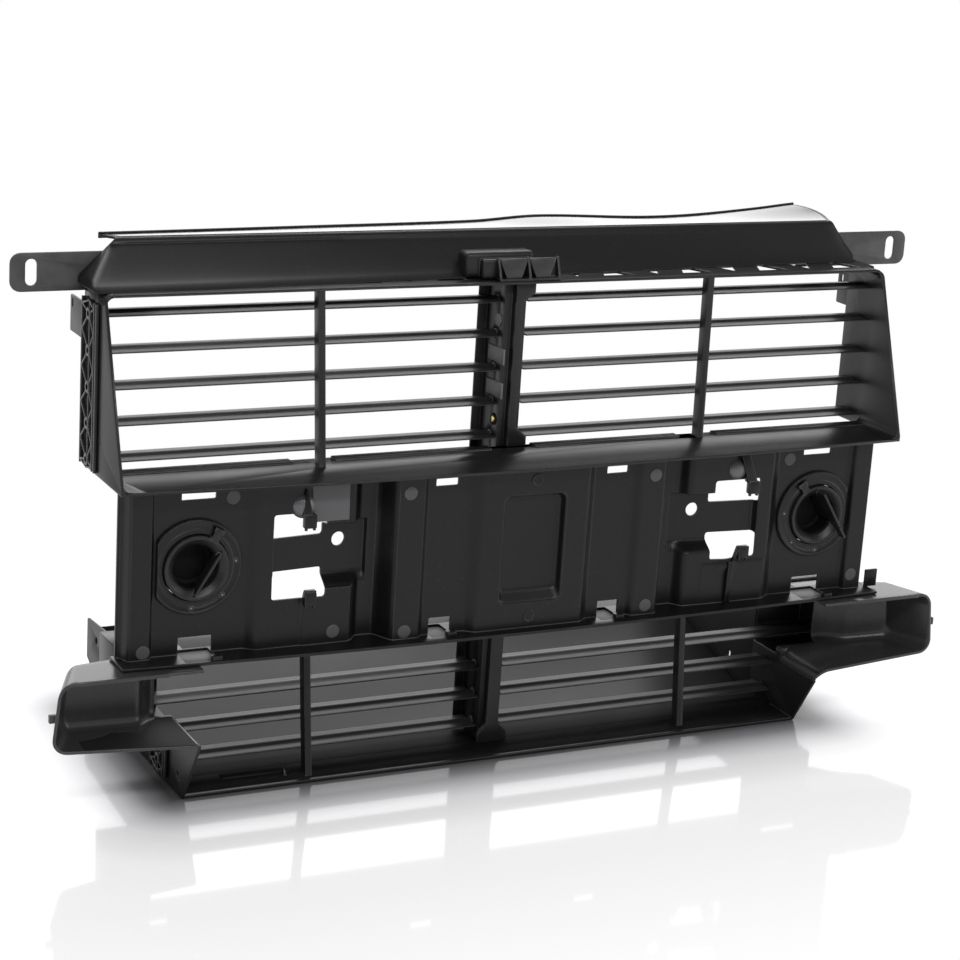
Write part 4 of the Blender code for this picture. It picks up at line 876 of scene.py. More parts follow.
# %% [markdown]
# Vane recipe
#
# Sixteen blades share one rule: a thin symmetric section with a round spine, drawn out along the axis, with
# a pivot pin outside and a drive stub inside. A cylinder's points are moved to the section's formula, so
# one tree serves both banks.

# %% Vane recipe
VANE_SIZES = ("blade_start", "blade_end", "pin_end", "stub_start", "depth", "height", "chord", "spine",
              "edge", "pin_radius", "stub_radius")
BLUNTNESS = 8.0
SPINE_SPREAD = 1.3


def vane_recipe():
    """A blade with its section from a formula, a pin and a stub."""
    recipe = Recipe("vane", VANE_SIZES)
    size = recipe.size

    def bar(points, segments, low, high, section):
        sizes = {"Vertices": points, "Side Segments": segments, "Radius": 1.0, "Depth": 1.0}
        round_bar = recipe.node("GeometryNodeMeshCylinder", {"fill_type": "NGON"}, sizes, "Mesh")
        across, upright, along = recipe.split(recipe.node("GeometryNodeInputPosition", {}, {}))
        back, rise = section(across, upright)
        spot = recipe.node("ShaderNodeCombineXYZ", {}, {0: low + (high - low) * (along + 0.5),
                                                       1: size["depth"] + back, 2: size["height"] + rise})
        return recipe.node("GeometryNodeSetPosition", {}, {"Geometry": round_bar, "Position": spot})

    def blade_section(across, upright):
        half = size["chord"] * 0.5
        flat = (1.0 - across.of("ABSOLUTE") ** BLUNTNESS).of("SQRT") * size["edge"]
        swell = across * half / (size["spine"] * SPINE_SPREAD)
        bulge = (0.0 - swell * swell).of("EXPONENT") * (size["spine"] - size["edge"])
        return across * half, upright.of("SIGN") * (flat + bulge)

    def round_section(radius):
        return lambda across, upright: (across * radius, upright * radius)

    blade = bar(144, 12, size["blade_start"], size["blade_end"], blade_section)
    pin = bar(24, 1, size["blade_end"] - OVERLAP, size["pin_end"], round_section(size["pin_radius"]))
    stub = bar(16, 1, size["stub_start"], size["blade_start"] + OVERLAP, round_section(size["stub_radius"]))
    recipe.close(recipe.node("GeometryNodeJoinGeometry", {}, {"Geometry": [blade, pin, stub]}), VANE_BLACK)
    return recipe


# %% [markdown]
# Vanes
#
# Each blade takes its reach, depth and height from its solid's box, and the left ones are mirrored. The top
# row of the lower bank reaches into the pockets beside it, so its blades and pins run the full length. The
# other rows end at the bearing strips and are shorter.

# %% Vanes
BLADE_INNER = 0.014
BLADE_EDGE = 0.0009
PIN_RADIUS = 0.003
STUB_RADIUS = 0.0025
PIN_IN_WALL = 0.0038
STRIP_DEPTH = 0.0097
PIN_SHORT = 0.0052
WIDE_ROW = "lower_row_3"

VANE = vane_recipe()
vanes = [name for name in nodes if "_vane_" in name]
for node in vanes:
    low, high = box_of(node)
    middle = middle_of(node)
    reach = max(abs(low.x), abs(high.x))
    wide = body_of[node] == WIDE_ROW
    shape = VANE.make(node, {"blade_start": BLADE_INNER, "stub_start": min(abs(low.x), abs(high.x)),
                             "blade_end": reach - PIN_IN_WALL - (0.0 if wide else STRIP_DEPTH),
                             "pin_end": reach - (0.0 if wide else PIN_SHORT), "depth": middle.y,
                             "height": middle.z, "chord": high.y - low.y, "spine": (high.z - low.z) / 2,
                             "edge": BLADE_EDGE, "pin_radius": PIN_RADIUS, "stub_radius": STUB_RADIUS})
    bmesh.ops.recalc_face_normals(shape, faces=shape.faces)
    hand_over(node + "_blade", sided(shape, middle.x), VANE_BLACK, [node], body_of[node],
              50.0)
print("vanes", len(vanes))

# %% [markdown]
# A smooth curve
#
# The hood's flap sags in waves. A few measured points along its rear edge say where it runs, and a curve
# that takes its slope from the neighbours of each point joins them without a kink.

# %% A smooth curve
FLAP_EDGE = ((-0.405, 0.113, 0.5330), (-0.200, 0.126, 0.5325), (-0.010, 0.138, 0.5325),
             (0.070, 0.146, 0.5352), (0.194, 0.146, 0.5315), (0.270, 0.150, 0.5325),
             (0.400, 0.158, 0.5405))


def through(points, x):
    """A smooth curve through points: the two values that belong to x."""
    index = max(1, next((i for i, point in enumerate(points) if point[0] >= x), len(points) - 1))
    before, after = points[index - 1], points[index]
    span = after[0] - before[0]
    share = min(max((x - before[0]) / span, 0.0), 1.0)

    def slope(spot, value):
        low, high = points[max(spot - 1, 0)], points[min(spot + 1, len(points) - 1)]
        return (high[value] - low[value]) / (high[0] - low[0]) * span

    result = []
    for value in (1, 2):
        first, last = slope(index - 1, value), slope(index, value)
        cube, square = share ** 3, share ** 2
        result.append((2 * cube - 3 * square + 1) * before[value] + (cube - 2 * square + share) * first
                      + (3 * square - 2 * cube) * after[value] + (cube - square) * last)
    return result


# %% [markdown]
# Hood section
#
# The deflector over the top rail is a thin, limp moulding: its face leans, its ends slope, and the flap
# runs back from it. Up the face and along the flap it is one line, so each place across the hood gets a
# column of points.

# %% Hood section
HOOD_TOP_HALF = 0.400
HOOD_FLARE = {-1: 0.036, 1: 0.026}
HOOD_SLOPE_FOOT = 0.4985
HOOD_FACE_TOP_Y = 0.0923
HOOD_ROUND = 0.006
HOOD_TOP = 0.5332
HOOD_FOOT_Y = (0.042, 0.080)
HOOD_SEAT = 0.0003
FOOT_STEP = (0.0015, 0.002)
FACE_BOW = 0.85
FACE_STEPS, ROUND_STEPS, FLAP_STEPS = 10, 6, 10
FLAP_FIRST = 1 + FACE_STEPS + ROUND_STEPS
FLAP_SHIFT = {-1: (0.0, -0.0105), 1: (0.010, -0.008)}
FLAP_ENDS = (0.85, 0.15)
FLARE_ENDS = (0.80, 0.20)


def hood_flare(height):
    """How much of its flare an end of the hood has at a height."""
    return min(max((HOOD_TOP - height) / (HOOD_TOP - HOOD_SLOPE_FOOT), 0.0), 1.0)


def flap_shift(spread, back):
    """How far the flap's ends lean sideways; back runs from 0 at the face to 1 at the lip."""
    bulge, lip = FLAP_SHIFT[1 if spread > 0 else -1]
    near_end = ease((abs(spread) - FLAP_ENDS[0]) / FLAP_ENDS[1])
    return near_end * (bulge * math.sin(math.pi * back) + lip * back)


def hood_section(share):
    """Depth, height and place on the flap, from the foot up the face and back; share runs left to right."""
    foot_y = between(*HOOD_FOOT_Y, share)
    foot_z = frame_high.z + HOOD_SEAT
    knee_z = HOOD_TOP - HOOD_ROUND
    points = [(foot_y - FOOT_STEP[0], foot_z, 0), (foot_y, foot_z + FOOT_STEP[1], 0)]
    for part in [step / FACE_STEPS for step in range(1, FACE_STEPS + 1)]:
        points.append((between(foot_y, HOOD_FACE_TOP_Y, part ** FACE_BOW),
                       between(foot_z + FOOT_STEP[1], knee_z, part), 0))
    points += [(HOOD_FACE_TOP_Y + HOOD_ROUND * (1 - cosine), knee_z + HOOD_ROUND * sine, 0)
               for sine, cosine in quarter(ROUND_STEPS)[1:]]
    rear_y, rear_z = through(FLAP_EDGE, between(-HOOD_TOP_HALF, HOOD_TOP_HALF, share))
    for part in [step / FLAP_STEPS for step in range(1, FLAP_STEPS + 1)]:
        points.append((between(HOOD_FACE_TOP_Y + HOOD_ROUND, rear_y, part),
                       HOOD_TOP + (rear_z - HOOD_TOP) * ease(part), part))
    return points


def hood_column(spread):
    """Points up the hood at one place; spread runs from -1 at the left end to 1 at the right."""
    column = []
    for y, z, back in hood_section((spread + 1) / 2):
        side = 1 if spread > 0 else -1
        near_end = ease((abs(spread) - FLARE_ENDS[0]) / FLARE_ENDS[1])
        flare = HOOD_FLARE[side] * hood_flare(z) * near_end if not back else 0.0
        column.append(Vector((spread * HOOD_TOP_HALF + side * flare + flap_shift(spread, back), y, z)))
    return column


# %% [markdown]
# Hood, flap skin and seal lip
#
# A sheet through the columns follows the hood, and Solidify gives it its wall. The flap's upper face is
# smoother than the rest, so a thin skin with its own finish lies on it. A thin rubber lip stands along the
# rear edge.

# %% Hood, flap skin and seal lip
HOOD_WALL = 0.0024
HOOD_CORNER = 0.007
HOOD_END_REAR = 0.0945
HOOD_COLUMNS = 160
END_SHARES = (0.0, 0.15, 0.3, 0.45, 0.6, 1.0)
CORNER_SHARE = 0.6
SKIN_LIFT = Vector((0.0, 0.0, 0.0004))
SKIN_WALL = 0.0005
LIP_COLUMNS = 140
LIP_SECTION = ((0.0006, -0.004), (0.0003, 0.0), (-0.0002, 0.0014))
LIP_WALL = 0.0022


def hood_end(side):
    """Columns that turn a round corner at an end of the hood and run back to the straps."""
    columns = []
    for share in END_SHARES:
        column = []
        for point in hood_column(side):
            room = max(HOOD_END_REAR - point.y, 0.0)
            corner = min(HOOD_CORNER, room)
            turn = math.pi / 2 * min(share / CORNER_SHARE, 1.0)
            back = corner * (1 - math.cos(turn)) if share <= CORNER_SHARE else room
            column.append(point + Vector((side * corner * (math.sin(turn) - 1.0), back, 0.0)))
        columns.append(column)
    return columns


def hood():
    """The whole deflector as one sheet."""
    middle = [hood_column(2 * step / HOOD_COLUMNS - 1) for step in range(3, HOOD_COLUMNS - 2)]
    shape = sheet(hood_end(-1)[::-1] + middle + hood_end(1))
    bmesh.ops.remove_doubles(shape, verts=shape.verts, dist=1e-5)
    bmesh.ops.dissolve_degenerate(shape, edges=shape.edges, dist=1e-6)
    return thick(shape, HOOD_WALL)


def flap_skin():
    """The flap's smooth upper face, a hair above the moulding."""
    columns = [hood_column(2 * step / HOOD_COLUMNS - 1)[FLAP_FIRST:] for step in range(1, HOOD_COLUMNS)]
    return thick(sheet([[point + SKIN_LIFT for point in column] for column in columns]), SKIN_WALL)


def seal_lip():
    """A thin upright lip along the flap's rear edge."""
    columns = []
    for step in range(LIP_COLUMNS + 1):
        x = between(-HOOD_TOP_HALF, HOOD_TOP_HALF, step / LIP_COLUMNS)
        y, z = through(FLAP_EDGE, x)
        x += flap_shift(x / HOOD_TOP_HALF, 1.0)
        columns.append([(x, y + back, z + rise) for back, rise in LIP_SECTION])
    return thick(sheet(columns), LIP_WALL, 0.0004)


hand_over("hood", hood(), HOOD_BLACK, ["top_deflector"])
hand_over("flap_skin", flap_skin(), SKIN_BLACK)
hand_over("seal_lip", seal_lip(), SEAL_RUBBER, ["seal_strip"])
flap_reach = [round(FLAP_EDGE[end][1] - HOOD_FACE_TOP_Y, 3) for end in (0, -1)]
print("hood flap", flap_reach[0], "to", flap_reach[1])

# %% [markdown]
# Top box and gussets
#
# In front of the hood sits a closed box with very round edges and a step in its face, and beside it two
# open pockets between three webs, whose backs lean like the sides of a funnel.

# %% Top box and gussets
STEP_BACK = 0.008
STEP_DOWN = 0.003
STEP_IN = 0.009
STEP_OVERLAP = 0.006
BOX_GROWTH = (0.006, 0.003)
WEB = 0.0026
WEB_TOP = 0.003
WEB_FLOOR = 0.0022
FUNNEL_IN = (0.007, 0.009)
FUNNEL_FRONT = 0.004

box_low, box_high = box_of("latch_box")
rear_block = soft_box((box_low.x - BOX_GROWTH[0], box_low.y + STEP_BACK, box_low.z),
                      (box_high.x, box_high.y, box_high.z + BOX_GROWTH[1]), 0.005, 5)
step_rear = box_low.y + STEP_BACK + STEP_OVERLAP
front_block = soft_box((box_low.x + STEP_IN, box_low.y, box_low.z),
                       (box_high.x - 0.002, step_rear, box_high.z - STEP_DOWN), 0.003, 4)
hand_over("top_box", joined([rear_block, front_block]), FRAME_BLACK, ["latch_box"])

gusset_low, gusset_high = box_of("gusset_bracket")
front, rear = gusset_low.y, gusset_high.y
foot, top = gusset_low.z, gusset_high.z
leaning = [(front, foot), (rear, foot), (rear, top), (rear - WEB_TOP, top)]
webs = []
for share in (0.0, 0.5, 1.0):
    x = between(gusset_low.x, gusset_high.x - WEB, share)
    webs.append(slab(leaning, "X", x, x + WEB, 0.0006))
webs.append(soft_box(gusset_low, (gusset_high.x, rear, foot + WEB_FLOOR)))
half_way = (gusset_low.x + gusset_high.x) / 2
funnels = []
for low, high in ((gusset_low.x + WEB, half_way), (half_way + WEB / 2, gusset_high.x - WEB)):
    below = (low + FUNNEL_IN[0], high - FUNNEL_IN[1], front + FUNNEL_FRONT, rear, foot + OVERLAP)
    funnels.append(wedge(below, (low, high, rear - WEB_TOP, rear, top - OVERLAP), 0.0004))
hand_over("gusset_funnels", joined(funnels), SCOOP_BLACK)
hand_over("gusset_webs", joined(webs), FRAME_BLACK, ["gusset_bracket"])
print("gusset", round(gusset_high.x - gusset_low.x, 4))

# %% [markdown]
# Middle panel
#
# The panel is a thin sheet pressed into upright bands. Its face is a height for every point, so it is
# written as one: soft steps between the bands, sunk straps between the windows, raised pads and round
# swellings. A mesh sculpted by hand could look the same, but a formula can be asked for its depth anywhere.

# %% Panel face
PANEL_BOTTOM = box_of("mid_panel")[0].z
PANEL_TOP = box_of("mid_panel")[1].z
PANEL_HALF = 0.421
PANEL_WALL = 0.0025
CENTER_LEVEL = -0.022
BAND_STEPS = ((0.064, 0.013, 0.008), (0.118, 0.008, -0.006), (0.1545, 0.015, 0.024),
              (0.1835, 0.012, -0.012), (0.292, 0.014, 0.008), (0.3905, 0.0045, -0.006),
              (0.4150, 0.007, 0.014))
WINDOW_Z = PANEL_BOTTOM + 0.0937
WINDOW_X = 0.2445
WINDOW_SIZE = (0.055, 0.026)
WINDOW_SPACING = 0.059
STRAP_HALF = 0.0285
STRAP_LEVEL = (0.009, 0.0)
STRAP_SPAN = (0.171, 0.2705)
STRAP_FOOT = 0.013
SOFT_EDGE = 0.0030
FOOT_FILLET = 0.0042
DIAL = (0.3477, WINDOW_Z - 0.004)
PADS = ((-0.2405, -0.1900, PANEL_BOTTOM, 0.2030, -0.0014), (0.2080, 0.2840, PANEL_BOTTOM, 0.1905, -0.0008))
PAD_SOFT = 0.0016
PAD_MARGIN = 0.004
DOMES = ((-0.2420, 0.2905, 0.0125, 0.0035), (0.2425, 0.2945, 0.0115, 0.0030),
         (0.2350, 0.1930, 0.0150, 0.0040))
DOME_SPREAD = 0.62


def inside(value, low, high, soft):
    """1 between two limits, 0 outside them, with soft edges."""
    return ease((value - low) / soft + 0.5) * ease((high - value) / soft + 0.5)


def panel_level(x, z):
    """Depth of the panel's face."""
    level = CENTER_LEVEL
    for where, run, change in BAND_STEPS:
        level += change * ease((abs(x) - where) / run + 0.5)
    for low_x, high_x, low_z, high_z, rise in PADS:
        upright = inside(z, low_z - PAD_MARGIN, high_z + PAD_MARGIN, PAD_SOFT)
        level += inside(x, low_x, high_x, PAD_SOFT) * upright * rise
    sunk = inside(abs(x), *STRAP_SPAN, SOFT_EDGE) * ease((z - WINDOW_Z + STRAP_HALF) / STRAP_FOOT + 0.5)
    sunk *= ease((WINDOW_Z + STRAP_HALF - z) / SOFT_EDGE + 0.5)
    floor = between(*STRAP_LEVEL, (abs(x) - STRAP_SPAN[0]) / (STRAP_SPAN[1] - STRAP_SPAN[0]))
    level = between(level, max(level, floor), sunk)
    for dome_x, dome_z, radius, rise in DOMES:
        level -= rise * math.exp(-((x - dome_x) ** 2 + (z - dome_z) ** 2) / (radius * DOME_SPREAD) ** 2)
    foot = 1.0 - min((z - PANEL_BOTTOM) / FOOT_FILLET, 1.0)
    return level - FOOT_FILLET * (1.0 - math.sqrt(1.0 - foot * foot))


# %% [markdown]
# Panel sheet
#
# An even grid fine enough for the steps would be very large. Here points lie closer together only where the
# height changes, so that the sheet through them stays both smooth and light.

# %% Panel sheet
GRID_STEP = (0.006, 0.008)
GRID_LEAST = 0.0003
PAD_FINE = (0.0014, 3)
PAD_FINE_Z = (0.2735, 0.2030)
DOME_FINE = (0.018, 18)


def spaced(low, high, step, *fine):
    """Places between two ends, with extra ones wherever a detail needs them."""
    places = {low, high}
    places |= {low + step * count for count in range(1, int((high - low) / step) + 1)}
    for middle, reach, count in fine:
        places |= {middle + reach * (2 * part / count - 1) for part in range(count + 1)}
    kept = []
    for place in sorted(place for place in places if low <= place <= high):
        if not kept or place - kept[-1] > GRID_LEAST:
            kept.append(place)
    return kept


def panel_sheet():
    """The pressed sheet with its wall."""
    details = [(where * side, run * 0.75, 10) for where, run, change in BAND_STEPS for side in (-1, 1)]
    details += [(edge * side, SOFT_EDGE, 6) for edge in STRAP_SPAN for side in (-1, 1)]
    details += [(edge, *PAD_FINE) for pad in PADS for edge in pad[:2]]
    details += [(dome[0], *DOME_FINE) for dome in DOMES]
    across = spaced(-PANEL_HALF, PANEL_HALF, GRID_STEP[0], *details)
    details = [(WINDOW_Z + STRAP_HALF, SOFT_EDGE, 6), (WINDOW_Z - STRAP_HALF, STRAP_FOOT * 0.6, 10)]
    details += [(dome[1], *DOME_FINE) for dome in DOMES] + [(PANEL_BOTTOM, FOOT_FILLET, 14)]
    details += [(edge, *PAD_FINE) for edge in PAD_FINE_Z]
    upright = spaced(PANEL_BOTTOM, PANEL_TOP, GRID_STEP[1], *details)
    print("panel grid", len(across), "by", len(upright))
    return pressed([[(x, panel_level(x, z), z) for z in upright] for x in across], PANEL_WALL)


# %% [markdown]
# Openings in the panel
#
# Windows, round holes, cap openings and slots go right through the sheet, so one Boolean takes them all
# out. Outlines with thickness make the cutters. A box in a slot is needed several times, so it has its own
# function.

# %% Openings in the panel
CUT_FRONT, CUT_REAR = -0.050, 0.030
SLOTS = ((0.345, 0.034), (0.095, 0.024))
SLOT_FRONT = -0.0245
TOP_SLOT = (PANEL_TOP - 0.0155, PANEL_TOP - 0.0080)
BOTTOM_SLOT = (PANEL_BOTTOM - 0.004, PANEL_BOTTOM + 0.020)
WINDOW_CORNER = 0.003
HOLE = (0.1994, WINDOW_Z + 0.0095)
HOLE_RADIUS = 0.0071
CAP_OPENING = 0.0323


def through_panel(outline):
    """A cutter that goes right through the panel."""
    return slab(outline, "Y", CUT_FRONT, CUT_REAR)


def slot_box(side, slot, depths, heights, radius, grow=0.0):
    """A box in one of the panel's slots."""
    middle, width = slot
    return soft_box((side * middle - width / 2 - grow, depths[0], heights[0]),
                    (side * middle + width / 2 + grow, depths[1], heights[1]), radius)


def window_cutters():
    """Windows, round holes, cap openings, top and bottom slots."""
    cutters = []
    for side in (-1, 1):
        for sign in (-1, 1):
            center = (side * WINDOW_X, WINDOW_Z + sign * WINDOW_SPACING / 2)
            cutters.append(through_panel(rounded_rectangle(center, WINDOW_SIZE, WINDOW_CORNER)))
        cutters.append(through_panel(circle((side * HOLE[0], HOLE[1]), HOLE_RADIUS, 36)))
        cutters.append(through_panel(circle((side * DIAL[0], DIAL[1]), CAP_OPENING, 60)))
        cutters += [slot_box(side, slot, (SLOT_FRONT, CUT_REAR), heights, 0.001)
                    for slot in SLOTS for heights in (TOP_SLOT, BOTTOM_SLOT)]
    return cutters


# %% [markdown]
# Recess and foot of the panel
#
# The sunk field in the middle fills a hole of its own. It is a nest of rounded rectangles, each a little
# deeper, sewn together into a bath. A bowed flange closes the foot, with pale plates under its slots that
# paint the light of a lit surface seen through them.

# %% Recess and foot of the panel
RECESS = (0.067, 0.110)
RECESS_Z = (PANEL_BOTTOM + PANEL_TOP) / 2
RECESS_DEPTH = 0.009
RECESS_RIM = 0.0018
RECESS_FILLET = 0.003
RECESS_CORNER = 0.007
RECESS_GAP = 0.0034
RECESS_GAP_CORNER = 0.0085
FLANGE_HALF = PANEL_HALF + 0.003
FLANGE_FRONT = -0.024
FLANGE_BOW = 0.012
FLANGE_REAR = 0.015
FLANGE_WALL = 0.003
FLANGE_STEPS = 40
SLOT_BACK = (-0.0262, 0.0145)
SLOT_BACK_Z = (PANEL_BOTTOM - 0.0002, PANEL_BOTTOM + 0.0006)


def recess_bath():
    """The sunk field in the middle, with round corners and a fillet along its floor."""
    floor = CENTER_LEVEL + RECESS_DEPTH
    rings = [(-RECESS_RIM * (1 - sine), CENTER_LEVEL + 0.0001 + RECESS_RIM * (1 - cosine))
             for sine, cosine in quarter(4)]
    rings += [(0.001 + RECESS_FILLET * (1 - cosine), floor - RECESS_FILLET * (1 - sine))
              for sine, cosine in quarter(4)]
    shape = bmesh.new()
    loops = []
    for inset, depth in rings:
        size = (RECESS[0] - 2 * inset, RECESS[1] - 2 * inset)
        outline = rounded_rectangle((0.0, RECESS_Z), size, RECESS_CORNER - inset * 0.5)
        lean = depth - CENTER_LEVEL
        loops.append([shape.verts.new((x, depth, z + (lean if z < RECESS_Z else 0.0))) for x, z in outline])
    for outer, inner in zip(loops, loops[1:]):
        for step in range(len(outer)):
            after = (step + 1) % len(outer)
            shape.faces.new((outer[step], outer[after], inner[after], inner[step]))
    shape.faces.new(loops[-1])
    bmesh.ops.recalc_face_normals(shape, faces=shape.faces)
    shape.faces.ensure_lookup_table()
    if shape.faces[-1].normal.y > 0:
        bmesh.ops.reverse_faces(shape, faces=shape.faces)
    return thick(shape, PANEL_WALL)


def panel_flange():
    """The bowed foot of the panel."""
    spreads = [2 * step / FLANGE_STEPS - 1 for step in range(FLANGE_STEPS + 1)]
    outline = [(FLANGE_HALF * spread, FLANGE_FRONT - FLANGE_BOW * (1 - spread ** 2)) for spread in spreads]
    outline += [(FLANGE_HALF, FLANGE_REAR), (-FLANGE_HALF, FLANGE_REAR)]
    plate = slab(outline, "Z", PANEL_BOTTOM, PANEL_BOTTOM + FLANGE_WALL, 0.0009)
    heights = (PANEL_BOTTOM - OVERSHOOT, PANEL_BOTTOM + 0.02)
    return cut_out(plate, [slot_box(side, slot, (SLOT_FRONT, 0.012), heights, 0.001)
                           for side in (-1, 1) for slot in SLOTS])


recess_size = (RECESS[0] + RECESS_GAP, RECESS[1] + RECESS_GAP)
recess_hole = through_panel(rounded_rectangle((0.0, RECESS_Z), recess_size, RECESS_GAP_CORNER))
panel_shape = cut_out(panel_sheet(), window_cutters() + [recess_hole])
# Pale plates under the slots: painted light standing in for a lit surface behind them.
slot_light_plates = [slot_box(side, slot, SLOT_BACK, SLOT_BACK_Z, 0.0002, 0.002)
              for side in (-1, 1) for slot in SLOTS]
hand_over("slot_light_plates", joined(slot_light_plates), SLOT_LIT_GREY)
hand_over("panel", joined([panel_shape, recess_bath(), panel_flange()]), PANEL_BLACK,
          ["mid_panel", "left_panel_wing", "right_panel_wing"], crease=40.0)
print("panel made")

# %% [markdown]
# Hooks on the panel
#
# Beside each window an arm grows out of the panel and ends in a block that hangs into the opening. The arms
# taper, so each is a bar between two rectangles, and the blocks have small teeth. The pad and domes beside
# them are painted paler, the pad for the light on its upward tilt and the domes as a painted highlight, so
# they are pieces of their own.

# %% Hooks on the panel
BLOCK = (0.0125, 0.0075, 0.0135)
BLOCK_FRONT = -0.0175
BLOCK_SPOTS = ((-0.2380, 0.2770), (0.2590, 0.2760), (-0.2350, 0.1990), (0.2530, 0.2060))
TOOTH_X = 0.0042
TOOTH_HALF = 0.0012
ARMS = (((-0.2455, -0.2355, -0.0165, -0.008, 0.282), (-0.2415, -0.2400, -0.0105, -0.008, 0.3075)),
        ((0.2520, 0.2630, -0.0165, -0.008, 0.281), (0.2420, 0.2530, -0.0130, -0.008, 0.3120)),
        ((-0.2410, -0.2280, -0.0120, -0.007, 0.196), (-0.2400, -0.2290, -0.0165, -0.010, 0.2075)),
        ((0.2440, 0.2560, -0.0110, -0.007, 0.196), (0.2470, 0.2570, -0.0165, -0.010, 0.2120)),
        ((0.2375, 0.2440, -0.0125, -0.006, PANEL_BOTTOM + 0.003), (0.2375, 0.2440, -0.0145, -0.006, 0.1960)))
DOME_HEIGHT = 0.0075
DOME_SINK = 0.002
DOME_BACK = 0.003


def hook_block(x, z):
    """The toothed block at the end of an arm."""
    half, foot = BLOCK[0] / 2, z - BLOCK[2] / 2
    parts = [soft_box((x - half, BLOCK_FRONT, foot),
                      (x + half, BLOCK_FRONT + BLOCK[1], z + BLOCK[2] / 2), 0.0012)]
    for tooth in (x - TOOTH_X, x + TOOTH_X):
        parts.append(soft_box((tooth - TOOTH_HALF, BLOCK_FRONT + 0.001, foot - 0.0022),
                              (tooth + TOOTH_HALF, BLOCK_FRONT + 0.004, foot + 0.001), 0.0004))
    return parts


window_level = panel_level(-0.230, 0.300)
pads = [wedge((-0.2330, -0.1955, window_level - 0.0022, window_level + 0.001, 0.2742),
              (-0.2350, -0.1955, window_level - 0.0006, window_level + 0.001, PANEL_TOP - 0.0006), 0.0006)]
domes = []
for dome_x, dome_z, radius, rise in DOMES[:2]:
    level = panel_level(dome_x + radius, dome_z)
    dome = [(radius * sine, level + DOME_SINK - DOME_HEIGHT * cosine ** 1.3)
            for sine, cosine in quarter(10)[:-1]]
    dome += [(radius, level + DOME_BACK), (0.0, level + DOME_BACK)]
    domes.append(turned(dome, (dome_x, dome_z), 48))
# The pad and domes take lighter finishes: painted light and a painted highlight.
hand_over("panel_pads", joined(pads), PAD_LIT_GREY)
hand_over("panel_domes", joined(domes), DOME_HIGHLIT_GREY)
arms = [wedge(first, second) for first, second in ARMS]
blocks = [part for x, z in BLOCK_SPOTS for part in hook_block(x, z)]
edge_tab = soft_box((0.4215, -0.004, PANEL_BOTTOM + 0.002), (0.4365, -0.001, PANEL_BOTTOM + 0.021), 0.0006)
slot_clips = [soft_box((side * middle + width / 2 - 0.008, -0.027, PANEL_BOTTOM + 0.002),
                       (side * middle + width / 2 + 0.0015, -0.019, PANEL_BOTTOM + 0.0075), 0.0007)
              for side in (-1, 1) for middle, width in SLOTS]
hand_over("panel_hooks", joined(arms + blocks + slot_clips + [edge_tab]), PANEL_BLACK)
print("hooks", len(arms))

# %% [markdown]
# Marks that the mould leaves
#
# Ejector pins leave round, coarser spots on the panel. They are all alike, so a second recipe puts a
# shallow disc on each point of a small cloud, and the points take their depth from the panel's own formula.
# Two round marks with a sunk middle are turned instead.

# %% Ejector marks
MARK_RADIUS = 0.0068
MARK_HEIGHT = 0.0007
MARK_SPOTS = ((-0.3110, 0.3020), (-0.3985, 0.1580), (-0.2075, 0.1620), (-0.1360, 0.1580), (-0.1365, 0.2990),
              (0.1360, 0.1600), (0.1365, 0.2990), (0.3110, 0.2990), (0.3995, 0.1660))
ROUND_MARKS = ((0.0, 0.3040), (0.0, 0.1620))
ROUND_PROFILE = ((0.0, -0.0002), (0.0048, -0.0002), (0.0052, -0.0009), (0.0060, -0.0009), (0.0066, 0.0004),
                 (0.0, 0.0004))


def disc_recipe():
    """A shallow disc on every point."""
    recipe = Recipe("ejector_marks", ("radius", "height"))
    sizes = {"Vertices": 32, "Side Segments": 1, "Radius": recipe.size["radius"],
             "Depth": recipe.size["height"]}
    disc = recipe.node("GeometryNodeMeshCylinder", {"fill_type": "NGON"}, sizes, "Mesh")
    facing = (math.pi / 2, 0.0, 0.0)
    spread = recipe.node("GeometryNodeInstanceOnPoints", {},
                         {"Points": recipe.base, "Instance": disc, "Rotation": facing})
    recipe.close(spread, MARK_GREY)
    return recipe


cloud = bmesh.new()
for x, z in MARK_SPOTS:
    cloud.verts.new((x, panel_level(x, z), z))
MARKS = disc_recipe()
discs = MARKS.make("ejector_discs", {"radius": MARK_RADIUS, "height": MARK_HEIGHT}, cloud)
hand_over("ejector_discs", discs, MARK_GREY)
rings = []
for x, z in ROUND_MARKS:
    level = panel_level(x, z)
    rings.append(turned([(radius, level + depth) for radius, depth in ROUND_PROFILE], (x, z), 48))
hand_over("round_marks", joined(rings), PANEL_BLACK)
print("marks", len(MARK_SPOTS))

# %% [markdown]
# Twist caps
#
# Each cap is a cup that turns in the panel: a coned rim round a deep bore, a fin across it to grip, a
# shallow floor on one side of the fin and a pointer over the fixed ring. The cup is a turned profile. The
# rest are bars that are drawn level and then turned about the cap's axis, which keeps their sizes easy to
# read.

# %% Twist caps
CAP_RADIUS = 0.032
CAP_LIP = 0.012
CAP_FLOOR = 0.003
BORE_RADIUS = 0.0222
BORE_GAP = 0.0004
FIN_TURN = math.radians(58.0)
FIN_OFFSET = 0.0125
FIN_HALF = 0.0013
SHELF_WIDTH = 0.008
BRIGHT_SPOT_OFFSET = 0.0035
BRIGHT_SPOT_PROFILE = ((0.0, 0.0085), (0.0009, 0.0086), (0.0013, 0.0095), (0.0013, 0.0105), (0.0, 0.0105))


